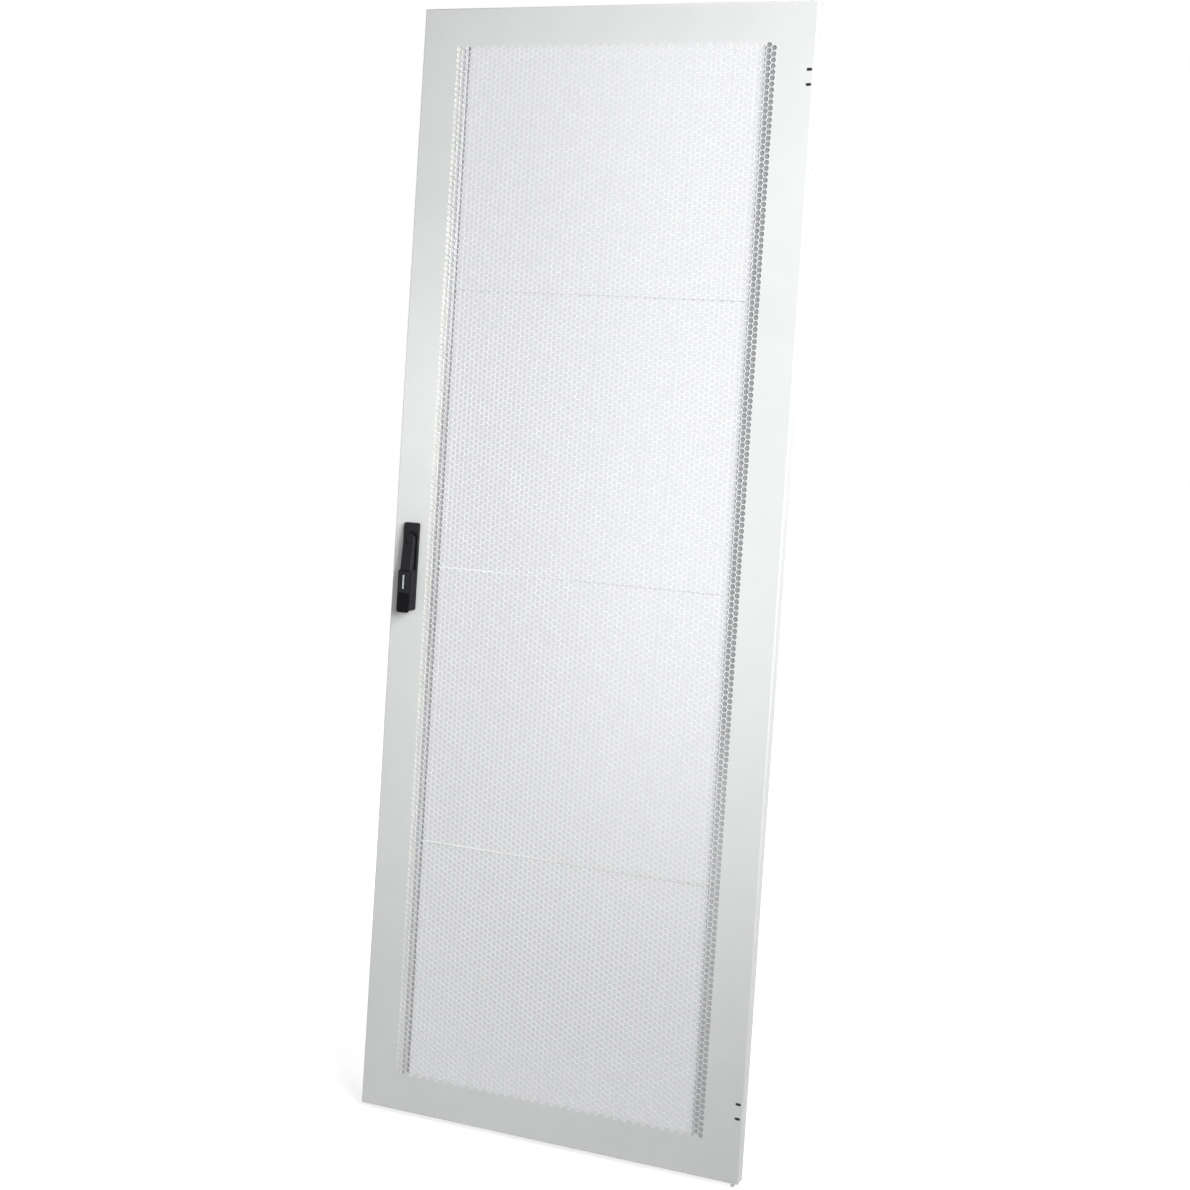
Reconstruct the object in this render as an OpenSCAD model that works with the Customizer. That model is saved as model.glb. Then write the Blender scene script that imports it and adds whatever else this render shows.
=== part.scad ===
// Perforated rack door: a folded sheet-steel door with a hexagonal vent field,
// a flush swing handle that drives two lock rods, and sprung hinge pins.
// The model's origin is on the hinge axis, at the door's lower edge:
// +X runs towards the hinge edge, +Y towards the rack and +Z up.

/* [Door shell] */
// Width over the folded edges
door_w = 797; // [700:1:900]
// Height over the folded edges
door_h = 2200; // [1600:1:2300]
// Depth of the folded edges
door_d = 30; // [28:0.5:36]
// Thickness of the steel sheet
sheet_t = 1.5; // [1.2:0.1:1.8]
// Outside radius of the folds
fold_r = 3; // [2:0.1:4]
// Width of the return lip behind each folded edge
lip_w = 12; // [9:0.5:14]

/* [Vent field] */
// Least plain margin between the door's edges and the outer holes
field_margin = 73.5; // [70:0.5:90]
// Distance between the centres of neighbouring holes
hole_pitch = 52; // [52:1:110]
// Width of the metal web between two holes, as a share of the pitch
web_share = 0.09; // [0.06:0.01:0.3]

/* [Stiffeners] */
// Distance from the door's edge to the outer leg of a channel
channel_inset = 70; // [69:0.5:72]
// Width of a stiffening channel
channel_w = 27; // [20:0.5:34]
// Depth of a channel, from the sheet to the back of its web
channel_d = 14; // [10:0.5:20]
// Thickness of the channel's steel
channel_t = 1.5; // [1:0.1:2]
// Thickness of a cross strip
strip_t = 2; // [1.5:0.1:3]
// Gap left by the paint between a stiffener's edge and the sheet
paint_gap = 0.1; // [0.05:0.05:0.3]

/* [Hinges] */
// Distance from the door's hinge edge to the hinge axis
hinge_inset_x = 14; // [12:0.5:18]
// Distance from the door's front face to the hinge axis
hinge_inset_y = 15; // [13:0.5:17]
// Diameter of a hinge pin's nose
nose_d = 8; // [6:0.5:9]
// Free length of a hinge pin's nose
nose_l = 10; // [7:0.5:14]
// Diameter of a hinge pin's body
pin_d = 10; // [9.5:0.5:11]
// Travel of a hinge pin when its arm is pulled
pin_travel = 12; // [8:0.5:14]
// Thickness of a hinge bracket's steel
bracket_t = 3; // [2:0.5:4]
// Distance from the door's end to the nearer hook slot
slot_near = 125; // [115:1:160]
// Distance between a bracket's two hook slots
slot_gap = 27.5; // [20:0.5:40]
// Length of a hook slot
slot_l = 11; // [10:0.5:12]
// Height of a hook slot
slot_h = 5.5; // [4:0.5:8]
// Distance from the door's end to the bracket's side screw
side_screw_z = 66; // [58:1:70]

/* [Swing handle] */
// Distance from the door's lock edge to the handle's centre line
handle_x = 40; // [38:0.5:42]
// Width of the handle's base
base_w = 31.5; // [30:0.5:34]
// Length of the handle's base
base_l = 174; // [165:0.5:178]
// Height of the base's rims over the door's face
base_h = 10; // [9:0.5:12]
// Thickness of the gasket under the base
gasket_t = 0.8; // [0.5:0.1:1.5]
// Distance from the base's middle up to the hub's axis
hub_rise = 54; // [51:0.5:56]
// Width of the lever's shank
lever_w = 25.5; // [25:0.5:26.5]
// Width of the lever's lower block at its front
block_w = 27.8; // [26:0.2:29]
// Width of the lever's lower block over the base's rims
block_base_w = 31; // [29:0.2:31.4]
// Thickness of the lever
lever_t = 14.4; // [14:0.2:16]
// Height of the lever's sloping front over the hub's axis
hub_front = 17; // [16:0.2:18]
// Distance from the hub's axis down to the lower block
block_drop = 61.5; // [58:0.5:64]
// Thickness of the sliding lock cover
cover_t = 2.2; // [1.6:0.1:3]
// Length by which the cover reaches past the base's lower end
cover_chin = 4.5; // [3:0.5:8]
// Travel of the lock cover
cover_travel = 29; // [27:0.5:31]
// Diameter of the lock cylinder
cylinder_d = 16; // [15:0.5:16.5]
// Diameter of the plug that the key turns
plug_d = 11; // [9:0.5:12]
// Length of the locking cam, from the plug's axis
cam_l = 12; // [11.4:0.1:12.2]

/* [Rod lock] */
// Module of the pinion and racks
gear_module = 1.5; // [1.4:0.05:1.5]
// Number of teeth on the pinion
pinion_teeth = 12; // [12:1:12]
// Width of a lock rod
rod_w = 8; // [6:0.5:8]
// Thickness of a lock rod
rod_t = 5; // [4:0.5:5]
// Distance from the door's ends to the rods' tips
rod_end = 45; // [40:1:90]
// Diameter of a rod's roller
roller_d = 16; // [12:0.5:18]
// Width of a rod's roller
roller_w = 7; // [5:0.5:8]

/* [Hidden] */

// Clearances
eps = 0.01;            // overlap that makes two pieces of one solid join
cut = 1;               // how far a cutting tool runs past a face
running = 0.05;        // radial clearance of a shaft that turns or slides
fit_gap = 0.1;         // clearance of a piece that is dropped into its seat
slide_gap = 0.3;       // clearance of a flat piece that slides
swing_gap = 0.4;       // clearance between the lever and the base's rims
round_fn = 48;         // facets of a small round in the preview

// Colours
painted_steel = [0.86, 0.87, 0.87];
zinc = [0.72, 0.73, 0.74];
black_plastic = [0.13, 0.13, 0.14];
nylon = [0.9, 0.89, 0.85];

// Vent field
field_w = door_w - 2 * field_margin;
field_h = door_h - 2 * field_margin;
hole_af = hole_pitch * (1 - web_share);
hole_d = hole_af / cos(30);
row_step = hole_pitch;
column_step = hole_pitch * cos(30);
columns = floor((field_w - hole_d) / column_step) + 1;
rows = floor((field_h - hole_af - row_step / 2) / row_step) + 1;
field_x = (door_w - (columns - 1) * column_step) / 2;
field_z = (door_h - (rows - 0.5) * row_step) / 2;
vent_plate_edge = field_margin - 8;

// Stiffeners
strip_x = channel_inset + channel_w;
strip_y = sheet_t + 5 * paint_gap;

// Hinges, in a frame with its origin on the hinge axis at the door's end
wall_x = hinge_inset_x - sheet_t;      // inner face of the side fold
wall_y = -hinge_inset_y + sheet_t;     // inner face of the front sheet
bracket_x = -22;
bracket_start = 20;
bracket_l = slot_near + slot_gap + 12 - bracket_start;
ear_t = 4;
ear_reach = 9;
far_ear_z = 76;
clip_z = 34;
clip_t = 1.2;
clip_d = 17;
groove_d = 8.2;
spring_wire = 1.4;
spring_d = 13.6;
spring_turns = 6;
spring_rings = 14 * spring_turns;
wire_sides = 8;
spring_low = clip_z + clip_t + spring_wire / 2 + fit_gap;
spring_high = far_ear_z - spring_wire / 2 - fit_gap;
arm_z = far_ear_z + ear_t + pin_travel + 2;
arm_bend_r = 9;
arm_l = 8;
slot_inset = 10;
hook_l = 4.5;
side_screw_d = 5;
side_screw_head_d = 9;
side_screw_head_h = 1.6;

// Swing handle, in a frame whose z rises from the door's face
handle_z = door_h / 2 - 2;
hub_z = handle_z + hub_rise;
base_corner_r = 3.5;
recess_floor = 3;
recess_w = lever_w + 2.7;
strike_t = 3;
strike_w = 26;
strike_y = -base_l / 2;
strike_h = 3.5;
lever_z = base_h + swing_gap;
lever_l = hub_rise + base_l / 2 - fit_gap;
lever_round = 3;
lever_top = lever_z + lever_t;
cam_t = 1.5;
cam_z = lever_z + 0.2;
cam_room = cam_t + 0.4;
strike_reach = hub_rise + base_l / 2 - strike_t;
cylinder_drop = strike_reach - cylinder_d / 2 - 1.7;
hub_disc_r = lever_w / 2 + 0.25;
hub_disc_top = 6.5;
journal_d = 14;
journal_end = -6;
tongue_w = 10;
pivot_y = 5;
pivot_z = lever_z + 0.4;
pivot_d = 3;
pivot_eye_r = 2.6;
slot_low = -5.2;
ear_r = 3.2;
ear_x = lever_w / 2 - 2.5;
cap_d = 20;
cap_t = 0.9;
cap_seat = pivot_z + pivot_eye_r + slide_gap + 1;
shank_slope = atan((lever_top - hub_front) / block_drop);
cover_z = lever_top + 0.2;
cover_w = block_w;
cover_l = lever_l - block_drop + cover_chin;
rail_w = 4;
rail_head_w = 8;
rail_start = block_drop + cover_travel + 1.2;
rail_end = cylinder_drop - cylinder_d / 2 - 0.6;
cover_round = 6;
rail_t = 1.5;
inlay_w = 24;
inlay_l = 42;
inlay_t = 0.6;
bar_w = 3.4;
bar_l = 28;
bar_x = -1.7;
ridge_pitch = 3;
ridge_count = 11;
screw_d = 5;
screw_head_d = 9;
screw_head_h = 3;
collar_d = 9;
latch_screw_rise = 23;
cutout_w = 24;
cutout_l = 62;
base_screw_rise = 13.5;
base_screw_y = base_screw_rise - base_l / 2;

// Rod lock, behind the sheet
plate_end = 12;
housing_end = 22;
housing_w = 41;
housing_l = 80;
gear_y = plate_end + 0.3;
gear_t = 5.2;
gear_room = gear_t + 0.7;
pitch_r = gear_module * pinion_teeth / 2;
pinion_tip_r = pitch_r + 0.8 * gear_module;
pinion_root_r = pitch_r - 0.95 * gear_module;
pressure_angle = 20;
backlash = 0.3;
spindle_sq = 7;
spindle_end = housing_end - 0.4;
boss_d = 12.4;
tooth_pitch = PI * gear_module;
rack_tip = 0.7 * gear_module;
rack_root = gear_module;
rack_teeth = 7;
rod_near = pitch_r + rack_root;
rod_y = gear_y + (gear_t - rod_t) / 2;
rod_tail = 12;
stud_drop = 10;
stud_d = 6;
stud_thread_d = 3.2;
stud_head_d = 10;
stud_head_t = 2;
guide_t = 1.5;
liner_w = 12;
foot_w = 6;
guide_l = 16;
guide_back = 21.5;
guide_places = [250, 900];

// Earthing point and bumpers
earth_x = 50;
earth_z = 60;
earth_d = 6;
bumper_d = 10;
bumper_t = 3;
bumper_stem_d = 4;
bumper_z = 300;

// The row's frame: its origin is on the hinge axis at the door's lower edge
module in_door() {
    translate([hinge_inset_x - door_w, -hinge_inset_y, 0]) children();
}

// A frame at the handle's centre whose z rises out of the door's face
module on_handle() {
    in_door() translate([handle_x, 0, handle_z]) rotate([90, 0, 0]) children();
}

// The same, with its origin on the hub's axis
module on_hub() {
    on_handle() translate([0, hub_rise, 0]) children();
}

// A hinge's frame at the door's lower end, or mirrored at its upper end
module at_hinge(upper) {
    if (upper) translate([0, 0, door_h]) mirror([0, 0, 1]) children();
    else children();
}

module rounded_rect(w, l, r) {
    square([w - 2 * r, l], center = true);
    square([w, l - 2 * r], center = true);
    for (x = [-1, 1], y = [-1, 1])
        translate([x * (w / 2 - r), y * (l / 2 - r)]) circle(r, $fn = round_fn);
}

module stadium(l, h) {
    square([l - h, h], center = true);
    for (x = [-1, 1]) translate([x * (l - h) / 2, 0]) circle(d = h, $fn = round_fn);
}

// A tube or ring along z
module ring(outer_d, inner_d, h) {
    difference() {
        cylinder(d = outer_d, h = h, $fn = round_fn);
        translate([0, 0, -cut]) cylinder(d = inner_d, h = h + 2 * cut, $fn = round_fn);
    }
}

// Section of a tray whose two front corners are folds
module fold_section(w, d, r) {
    translate([r, 0]) square([w - 2 * r, d]);
    translate([0, r]) square([w, d - r]);
    for (x = [r, w - r]) translate([x, r]) circle(r, $fn = round_fn);
}

// The block between all four folds, inset from the door's outer skin
module fold_block(inset, depth) {
    w = door_w - 2 * inset;
    h = door_h - 2 * inset;
    r = fold_r - inset;
    intersection() {
        translate([inset, inset, inset]) linear_extrude(h) fold_section(w, depth, r);
        translate([inset, inset, inset + h]) rotate([0, 90, 0])
            linear_extrude(w) fold_section(h, depth, r);
    }
}

// One hinge's cuts through the shell: two hook slots, a pin hole, a screw hole
module hinge_cuts() {
    for (z = [slot_near, slot_near + slot_gap])
        translate([hinge_inset_x - slot_inset, wall_y + cut, z])
            rotate([90, 0, 0]) linear_extrude(sheet_t + 2 * cut) stadium(slot_l, slot_h);
    translate([0, 0, -cut])
        cylinder(d = pin_d + 1, h = sheet_t + 2 * cut, $fn = round_fn);
    translate([wall_x - cut, 0, side_screw_z]) rotate([0, 90, 0])
        cylinder(d = side_screw_d + 2 * fit_gap, h = sheet_t + 2 * cut, $fn = round_fn);
}

// Flat sheet with the hexagonal holes, as far as the plain margins
module vent_plate() {
    translate([0, sheet_t, 0]) rotate([90, 0, 0]) linear_extrude(sheet_t) difference() {
        translate([vent_plate_edge, vent_plate_edge])
            square([door_w - 2 * vent_plate_edge, door_h - 2 * vent_plate_edge]);
        for (c = [0 : columns - 1], r = [0 : rows - 1])
            translate([field_x + c * column_step, field_z + (r + (c + 1) % 2 / 2) * row_step])
                circle(d = hole_d, $fn = 6);
    }
}

module door_panel() color(painted_steel) in_door() {
    difference() {
        fold_block(0, door_d);
        fold_block(sheet_t, door_d - 2 * sheet_t);
        translate([lip_w, door_d / 2, lip_w])
            cube([door_w - 2 * lip_w, door_d, door_h - 2 * lip_w]);
        translate([vent_plate_edge, -cut, vent_plate_edge])
            cube([door_w - 2 * vent_plate_edge, door_d / 2, door_h - 2 * vent_plate_edge]);
        translate([door_w - hinge_inset_x, hinge_inset_y, 0]) {
            hinge_cuts();
            at_hinge(true) hinge_cuts();
        }
        translate([handle_x, sheet_t + cut, handle_z]) rotate([90, 0, 0])
            linear_extrude(sheet_t + 2 * cut) {
                translate([0, hub_rise]) rounded_rect(cutout_w, cutout_l, 3);
                translate([0, base_screw_y]) circle(d = collar_d + 4 * fit_gap, $fn = round_fn);
            }
        for (x = [lip_w / 2, door_w - lip_w / 2], z = [bumper_z, door_h - bumper_z])
            translate([x, door_d - sheet_t - cut, z]) rotate([-90, 0, 0])
                cylinder(d = bumper_stem_d + 2 * fit_gap, h = sheet_t + 2 * cut, $fn = round_fn);
    }
    vent_plate();
}

// U-shaped channel with its web on the sheet, open to the back, between the end folds
module channel() {
    r = channel_t;
    front = sheet_t + paint_gap;
    translate([0, 0, fold_r]) linear_extrude(door_h - 2 * fold_r) difference() {
        union() {
            translate([0, front + r]) square([channel_w, channel_d - paint_gap - r]);
            translate([r, front]) square([channel_w - 2 * r, channel_d - paint_gap]);
            for (x = [r, channel_w - r]) translate([x, front + r]) circle(r, $fn = round_fn);
        }
        translate([channel_t, front + channel_t]) square([channel_w - 2 * channel_t, channel_d]);
    }
}

module lock_side_channel() color(painted_steel)
    in_door() translate([channel_inset, 0, 0]) channel();

module hinge_side_channel() color(painted_steel)
    in_door() translate([door_w - channel_inset - channel_w, 0, 0]) channel();

// Strip on edge between the two channels, at a share of the door's height
module cross_strip(share) color(painted_steel)
    in_door() translate([strip_x, strip_y, door_h * share - strip_t / 2])
        cube([door_w - 2 * strip_x, sheet_t + channel_d - strip_y, strip_t]);

module upper_cross_strip() cross_strip(0.75);
module middle_cross_strip() cross_strip(0.5);
module lower_cross_strip() cross_strip(0.25);

// Section of the angle that each hinge bracket is bent from
module bracket_section() {
    translate([bracket_x, wall_y]) square([wall_x - bracket_t - bracket_x, bracket_t]);
    translate([wall_x - bracket_t, wall_y + bracket_t])
        square([bracket_t, hinge_inset_y + ear_reach - sheet_t - bracket_t]);
    translate([wall_x - bracket_t, wall_y + bracket_t]) circle(bracket_t, $fn = round_fn);
}

// Angle bracket with two ears that carry the hinge pin and two hooks
module hinge_bracket() color(zinc) difference() {
    union() {
        translate([0, 0, bracket_start]) linear_extrude(bracket_l) bracket_section();
        for (z = [bracket_start, far_ear_z])
            translate([-ear_reach, wall_y + bracket_t / 2, z])
                cube([wall_x - bracket_t / 2 + ear_reach,
                      hinge_inset_y + ear_reach - sheet_t - bracket_t / 2, ear_t]);
        for (z = [slot_near, slot_near + slot_gap])
            translate([hinge_inset_x - slot_inset + slot_l / 2 - hook_l - slot_h / 4,
                       -hinge_inset_y + slide_gap, z - slot_h / 2 + slide_gap])
                cube([hook_l, sheet_t + eps, slot_h - 2 * slide_gap]);
    }
    translate([0, 0, bracket_start - cut])
        cylinder(d = pin_d + 2 * running, h = far_ear_z + ear_t, $fn = round_fn);
    translate([wall_x - bracket_t - cut, 0, side_screw_z]) rotate([0, 90, 0])
        cylinder(d = side_screw_d + 2 * fit_gap, h = bracket_t + 2 * cut, $fn = round_fn);
}

// Shouldered pin whose inner end is bent into a pull arm
module hinge_pin() color(zinc) {
    difference() {
        union() {
            translate([0, 0, 1 - nose_l]) cylinder(d = nose_d, h = nose_l - 1, $fn = round_fn);
            translate([0, 0, -nose_l])
                cylinder(d1 = nose_d - 2, d2 = nose_d, h = 1, $fn = round_fn);
            cylinder(d = pin_d, h = arm_z, $fn = round_fn);
        }
        translate([0, 0, clip_z]) ring(pin_d + 2, groove_d, clip_t);
    }
    translate([-arm_bend_r, 0, arm_z]) rotate([90, 0, 0])
        rotate_extrude(angle = 90, $fn = 96)
            translate([arm_bend_r, 0]) circle(d = pin_d, $fn = round_fn);
    translate([-arm_bend_r, 0, arm_z + arm_bend_r]) rotate([0, -90, 0])
        cylinder(d = pin_d, h = arm_l, $fn = round_fn);
}

module pin_clip() color(zinc)
    translate([0, 0, clip_z + running])
        ring(clip_d, groove_d + 2 * running, clip_t - 2 * running);

// Point j of ring i along the compression spring's wire
function coil_point(i, j) =
    let (turn = 360 * spring_turns * i / spring_rings, side = 360 * j / wire_sides,
         r = spring_d / 2 + spring_wire / 2 * cos(side),
         rise = (spring_high - spring_low) * i / spring_rings)
    [r * cos(turn), r * sin(turn), spring_low + rise + spring_wire / 2 * sin(side)];

// Compression spring between the clip and the far ear
module pin_spring() color(zinc) {
    n = wire_sides;
    points = [for (i = [0 : spring_rings], j = [0 : n - 1]) coil_point(i, j)];
    walls = [for (i = [0 : spring_rings - 1], j = [0 : n - 1])
        [i * n + j, (i + 1) * n + j, (i + 1) * n + (j + 1) % n, i * n + (j + 1) % n]];
    start = [for (j = [0 : n - 1]) j];
    finish = [for (j = [n - 1 : -1 : 0]) spring_rings * n + j];
    polyhedron(points, concat(walls, [start], [finish]), convexity = 10);
}

module upper_hinge_bracket() at_hinge(true) hinge_bracket();
module upper_hinge_pin() at_hinge(true) hinge_pin();
module upper_pin_clip() at_hinge(true) pin_clip();
module upper_pin_spring() at_hinge(true) pin_spring();
module lower_hinge_bracket() at_hinge(false) hinge_bracket();
module lower_hinge_pin() at_hinge(false) hinge_pin();
module lower_pin_clip() at_hinge(false) pin_clip();
module lower_pin_spring() at_hinge(false) pin_spring();

// Screws from inside each bracket that end flush inside the side fold's holes
module hinge_screws() color(zinc) for (upper = [false, true])
    at_hinge(upper) translate([wall_x - bracket_t, 0, side_screw_z]) rotate([0, 90, 0]) {
        cylinder(d = side_screw_d, h = bracket_t + sheet_t - slide_gap, $fn = round_fn);
        translate([0, 0, -side_screw_head_h])
            cylinder(d = side_screw_head_d, h = side_screw_head_h, $fn = round_fn);
    }

// Moulded dish with a round pocket for the hub and a bridge for the locking cam
module handle_base() color(black_plastic) on_handle() difference() {
    union() {
        translate([0, 0, gasket_t]) linear_extrude(base_h - gasket_t)
            rounded_rect(base_w, base_l, base_corner_r);
        translate([0, 0, gasket_t]) linear_extrude(base_h + strike_h - gasket_t) intersection() {
            rounded_rect(base_w, base_l, base_corner_r);
            translate([-strike_w / 2, strike_y]) square([strike_w, strike_t]);
        }
        translate([0, hub_rise, -sheet_t + fit_gap]) linear_extrude(sheet_t + gasket_t)
            rounded_rect(cutout_w - 4 * fit_gap, cutout_l - 4 * fit_gap, 3);
        translate([0, hub_rise, journal_end]) {
            cylinder(d = journal_d + 5, h = recess_floor - journal_end, $fn = round_fn);
            for (y = [-1, 1]) translate([0, y * latch_screw_rise, 0])
                cylinder(d = collar_d, h = recess_floor - journal_end, $fn = round_fn);
        }
        translate([0, base_screw_y, -sheet_t + fit_gap])
            cylinder(d = collar_d, h = recess_floor + sheet_t, $fn = round_fn);
    }
    translate([0, 0, recess_floor]) linear_extrude(base_h) {
        translate([0, hub_rise]) circle(d = recess_w, $fn = round_fn * 2);
        translate([-recess_w / 2, strike_y + strike_t])
            square([recess_w, hub_rise - strike_y - strike_t]);
    }
    translate([0, hub_rise, journal_end - cut])
        cylinder(d = journal_d + 2 * running, h = 4 * base_h, $fn = round_fn);
    translate([-strike_w / 2 + 2, strike_y - cut, base_h + swing_gap - fit_gap])
        cube([strike_w - 4, strike_t + 2 * cut, cam_room + 2 * fit_gap]);
    for (y = [hub_rise - latch_screw_rise, hub_rise + latch_screw_rise, base_screw_y])
        translate([0, y, journal_end - cut])
            cylinder(d = screw_d, h = recess_floor - 1 - journal_end + cut, $fn = round_fn);
}

module base_gasket() color([0.2, 0.2, 0.2]) on_handle() linear_extrude(gasket_t) difference() {
    rounded_rect(base_w - 1, base_l - 1, base_corner_r - 0.5);
    translate([0, hub_rise]) rounded_rect(cutout_w, cutout_l, 3);
    translate([0, base_screw_y]) circle(d = collar_d + 4 * fit_gap, $fn = round_fn);
}

// Turntable with a journal, a square spindle and a tongue for the lever's pivot
module handle_hub() color(zinc) on_hub() difference() {
    union() {
        translate([0, 0, recess_floor + slide_gap])
            cylinder(r = hub_disc_r, h = hub_disc_top - recess_floor - slide_gap, $fn = 96);
        translate([0, 0, journal_end])
            cylinder(d = journal_d, h = hub_disc_top - journal_end, $fn = round_fn);
        translate([-spindle_sq / 2, -spindle_sq / 2, -spindle_end])
            cube([spindle_sq, spindle_sq, spindle_end]);
        translate([-tongue_w / 2, 0, 0]) rotate([90, 0, 90]) linear_extrude(tongue_w) {
            translate([-4, hub_disc_top - 1]) square([pivot_y + 4, pivot_z + pivot_eye_r - hub_disc_top + 1]);
            translate([pivot_y, pivot_z]) circle(pivot_eye_r, $fn = round_fn);
            translate([0, hub_disc_top - 1]) square([pivot_y + pivot_eye_r, pivot_z - hub_disc_top + 1]);
        }
    }
    translate([0, pivot_y, pivot_z]) rotate([0, 90, 0])
        cylinder(d = pivot_d + 2 * running, h = 2 * tongue_w, center = true, $fn = round_fn);
    translate([0, 0, -spindle_end - cut]) cylinder(d = 3.3, h = 11, $fn = round_fn);
}

// Involute tooth flank: a point at radius r, as an angle from the tooth's centre
function involute_angle(r) =
    let (base_r = pitch_r * cos(pressure_angle), a = acos(min(1, base_r / r)))
    tan(a) * 180 / PI - a;
function half_tooth(r) =
    (PI * gear_module / 2 - backlash) / (2 * pitch_r) * 180 / PI
    + involute_angle(pitch_r) - involute_angle(max(r, pitch_r * cos(pressure_angle)));
flank_radii = [for (i = [0 : 4]) pinion_root_r + (pinion_tip_r - pinion_root_r) * i / 4];

module pinion_outline() {
    flank = [for (r = flank_radii) [r, half_tooth(r)]];
    polygon([for (t = [0 : pinion_teeth - 1]) each concat(
        [for (f = flank) f[0] * [cos(360 * t / pinion_teeth - f[1]), sin(360 * t / pinion_teeth - f[1])]],
        [for (i = [len(flank) - 1 : -1 : 0]) let (f = flank[i])
            f[0] * [cos(360 * t / pinion_teeth + f[1]), sin(360 * t / pinion_teeth + f[1])]])]);
}

module drive_pinion() color(zinc) on_hub() translate([0, 0, -gear_y - gear_t]) difference() {
    union() {
        linear_extrude(gear_t) pinion_outline();
        translate([0, 0, gear_y + gear_t - housing_end])
            cylinder(d = boss_d, h = housing_end - gear_y - gear_t + eps, $fn = round_fn);
    }
    translate([0, 0, gear_t / 2]) cube([spindle_sq + 2 * fit_gap, spindle_sq + 2 * fit_gap, 40], center = true);
}

module spindle_washer() color(zinc)
    on_hub() translate([0, 0, -housing_end - 1]) ring(12, 4.3, 1);

module spindle_screw() color(zinc) on_hub() {
    translate([0, 0, -housing_end - 1]) cylinder(d = 3.2, h = 9, $fn = round_fn);
    translate([0, 0, -housing_end - 3.4]) difference() {
        cylinder(d = 7, h = 2.4, $fn = round_fn);
        translate([0, 0, -cut]) cylinder(d = 3, h = cut + 1.2, $fn = 6);
    }
}

// Shank's outline in plan, from the round end at the hub down into the block
module shank_outline() {
    circle(d = lever_w, $fn = 96);
    translate([-lever_w / 2, -block_drop - cut]) square([lever_w, block_drop + cut]);
}

// Section of the sloping shank, whose front is at z = 0
module shank_section() {
    r = lever_round;
    translate([-lever_w / 2, -2 * lever_t]) square([lever_w, 2 * lever_t - r]);
    translate([-lever_w / 2 + r, -lever_t]) square([lever_w - 2 * r, lever_t]);
    for (x = [-1, 1]) translate([x * (lever_w / 2 - r), -r]) circle(r, $fn = round_fn);
}

// Section with rounded front edges that narrows from foot_width to front_width
module lever_section(foot_width, front_width, r) {
    polygon([[-foot_width / 2, lever_z], [foot_width / 2, lever_z],
             [front_width / 2, lever_top - r], [-front_width / 2, lever_top - r]]);
    translate([-front_width / 2 + r, lever_z + cut]) square([front_width - 2 * r, lever_t - cut]);
    for (x = [-1, 1]) translate([x * (front_width / 2 - r), lever_top - r]) circle(r, $fn = round_fn);
}

// Plain lever with its tongue room, lock seat, cam room and cover rail
module lever() color(black_plastic) on_hub() difference() {
    union() {
        intersection() {
            translate([0, 0, lever_z]) linear_extrude(lever_t) shank_outline();
            translate([0, -block_drop, lever_top]) rotate([-shank_slope, 0, 0])
                translate([0, block_drop + lever_w, 0]) rotate([90, 0, 0])
                    linear_extrude(block_drop + 2 * lever_w) shank_section();
        }
        translate([0, pivot_y, pivot_z]) rotate([0, 90, 0])
            cylinder(r = ear_r, h = 2 * ear_x, center = true, $fn = round_fn);
        translate([0, -block_drop, 0]) rotate([90, 0, 0]) linear_extrude(lever_l - block_drop)
            lever_section(block_base_w, block_w, 1);
    }
    translate([-tongue_w / 2 - slide_gap, slot_low, pivot_z - ear_r - cut])
        cube([tongue_w + 2 * slide_gap, pivot_y + pivot_eye_r + 1.4 - slot_low,
              ear_r + cut + pivot_eye_r + slide_gap]);
    translate([0, pivot_y, pivot_z]) rotate([0, 90, 0])
        cylinder(d = pivot_d, h = 2 * ear_x, center = true, $fn = round_fn);
    translate([0, -cylinder_drop, lever_z - cut])
        cylinder(d = cylinder_d + 2 * fit_gap, h = lever_t + 2 * cut, $fn = round_fn);
    translate([0, -cylinder_drop, lever_z - cut])
        cylinder(r = cam_l + 0.4, h = cam_room + cut, $fn = round_fn);
    translate([-block_w, -lever_l - cut, lever_z - cut])
        cube([2 * block_w, lever_l - strike_reach + 1 + cut, strike_h + 0.4 - swing_gap + cut]);
    translate([0, -block_drop - 0.9, 0]) rotate([90, 0, 0])
        linear_extrude(cylinder_drop - block_drop - cylinder_d / 4) {
            translate([-rail_w / 2 - slide_gap, lever_top - rail_t - cut])
                square([rail_w + 2 * slide_gap, rail_t + 2 * cut]);
            translate([-rail_head_w / 2 - slide_gap, lever_top - 2 * rail_t - slide_gap])
                square([rail_head_w + 2 * slide_gap, rail_t + slide_gap]);
        }
    translate([0, 0, cap_seat]) cylinder(d = cap_d + 2 * fit_gap, h = lever_t, $fn = 96);
}

module lever_pivot() color(zinc)
    on_hub() translate([0, pivot_y, pivot_z]) rotate([0, 90, 0])
        cylinder(d = pivot_d, h = 2 * ear_x, center = true, $fn = round_fn);

module hub_cap() color(black_plastic)
    on_hub() translate([0, 0, cap_seat]) cylinder(d = cap_d, h = cap_t, $fn = 96);

module lock_cylinder() color(zinc)
    on_hub() translate([0, -cylinder_drop, lever_z + cam_room])
        ring(cylinder_d, plug_d + 2 * running, lever_t - cam_room - 0.2);

module cylinder_plug() color([0.8, 0.78, 0.7])
    on_hub() translate([0, -cylinder_drop, 0]) difference() {
        union() {
            translate([0, 0, cam_z + cam_t])
                cylinder(d = plug_d, h = lever_top - 0.4 - cam_z - cam_t, $fn = round_fn);
            translate([-2.5, -2.5, cam_z]) cube([5, 5, cam_t + 1]);
        }
        translate([-1.1, -3.5, lever_top - 9]) cube([2.2, 7, 10]);
    }

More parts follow.
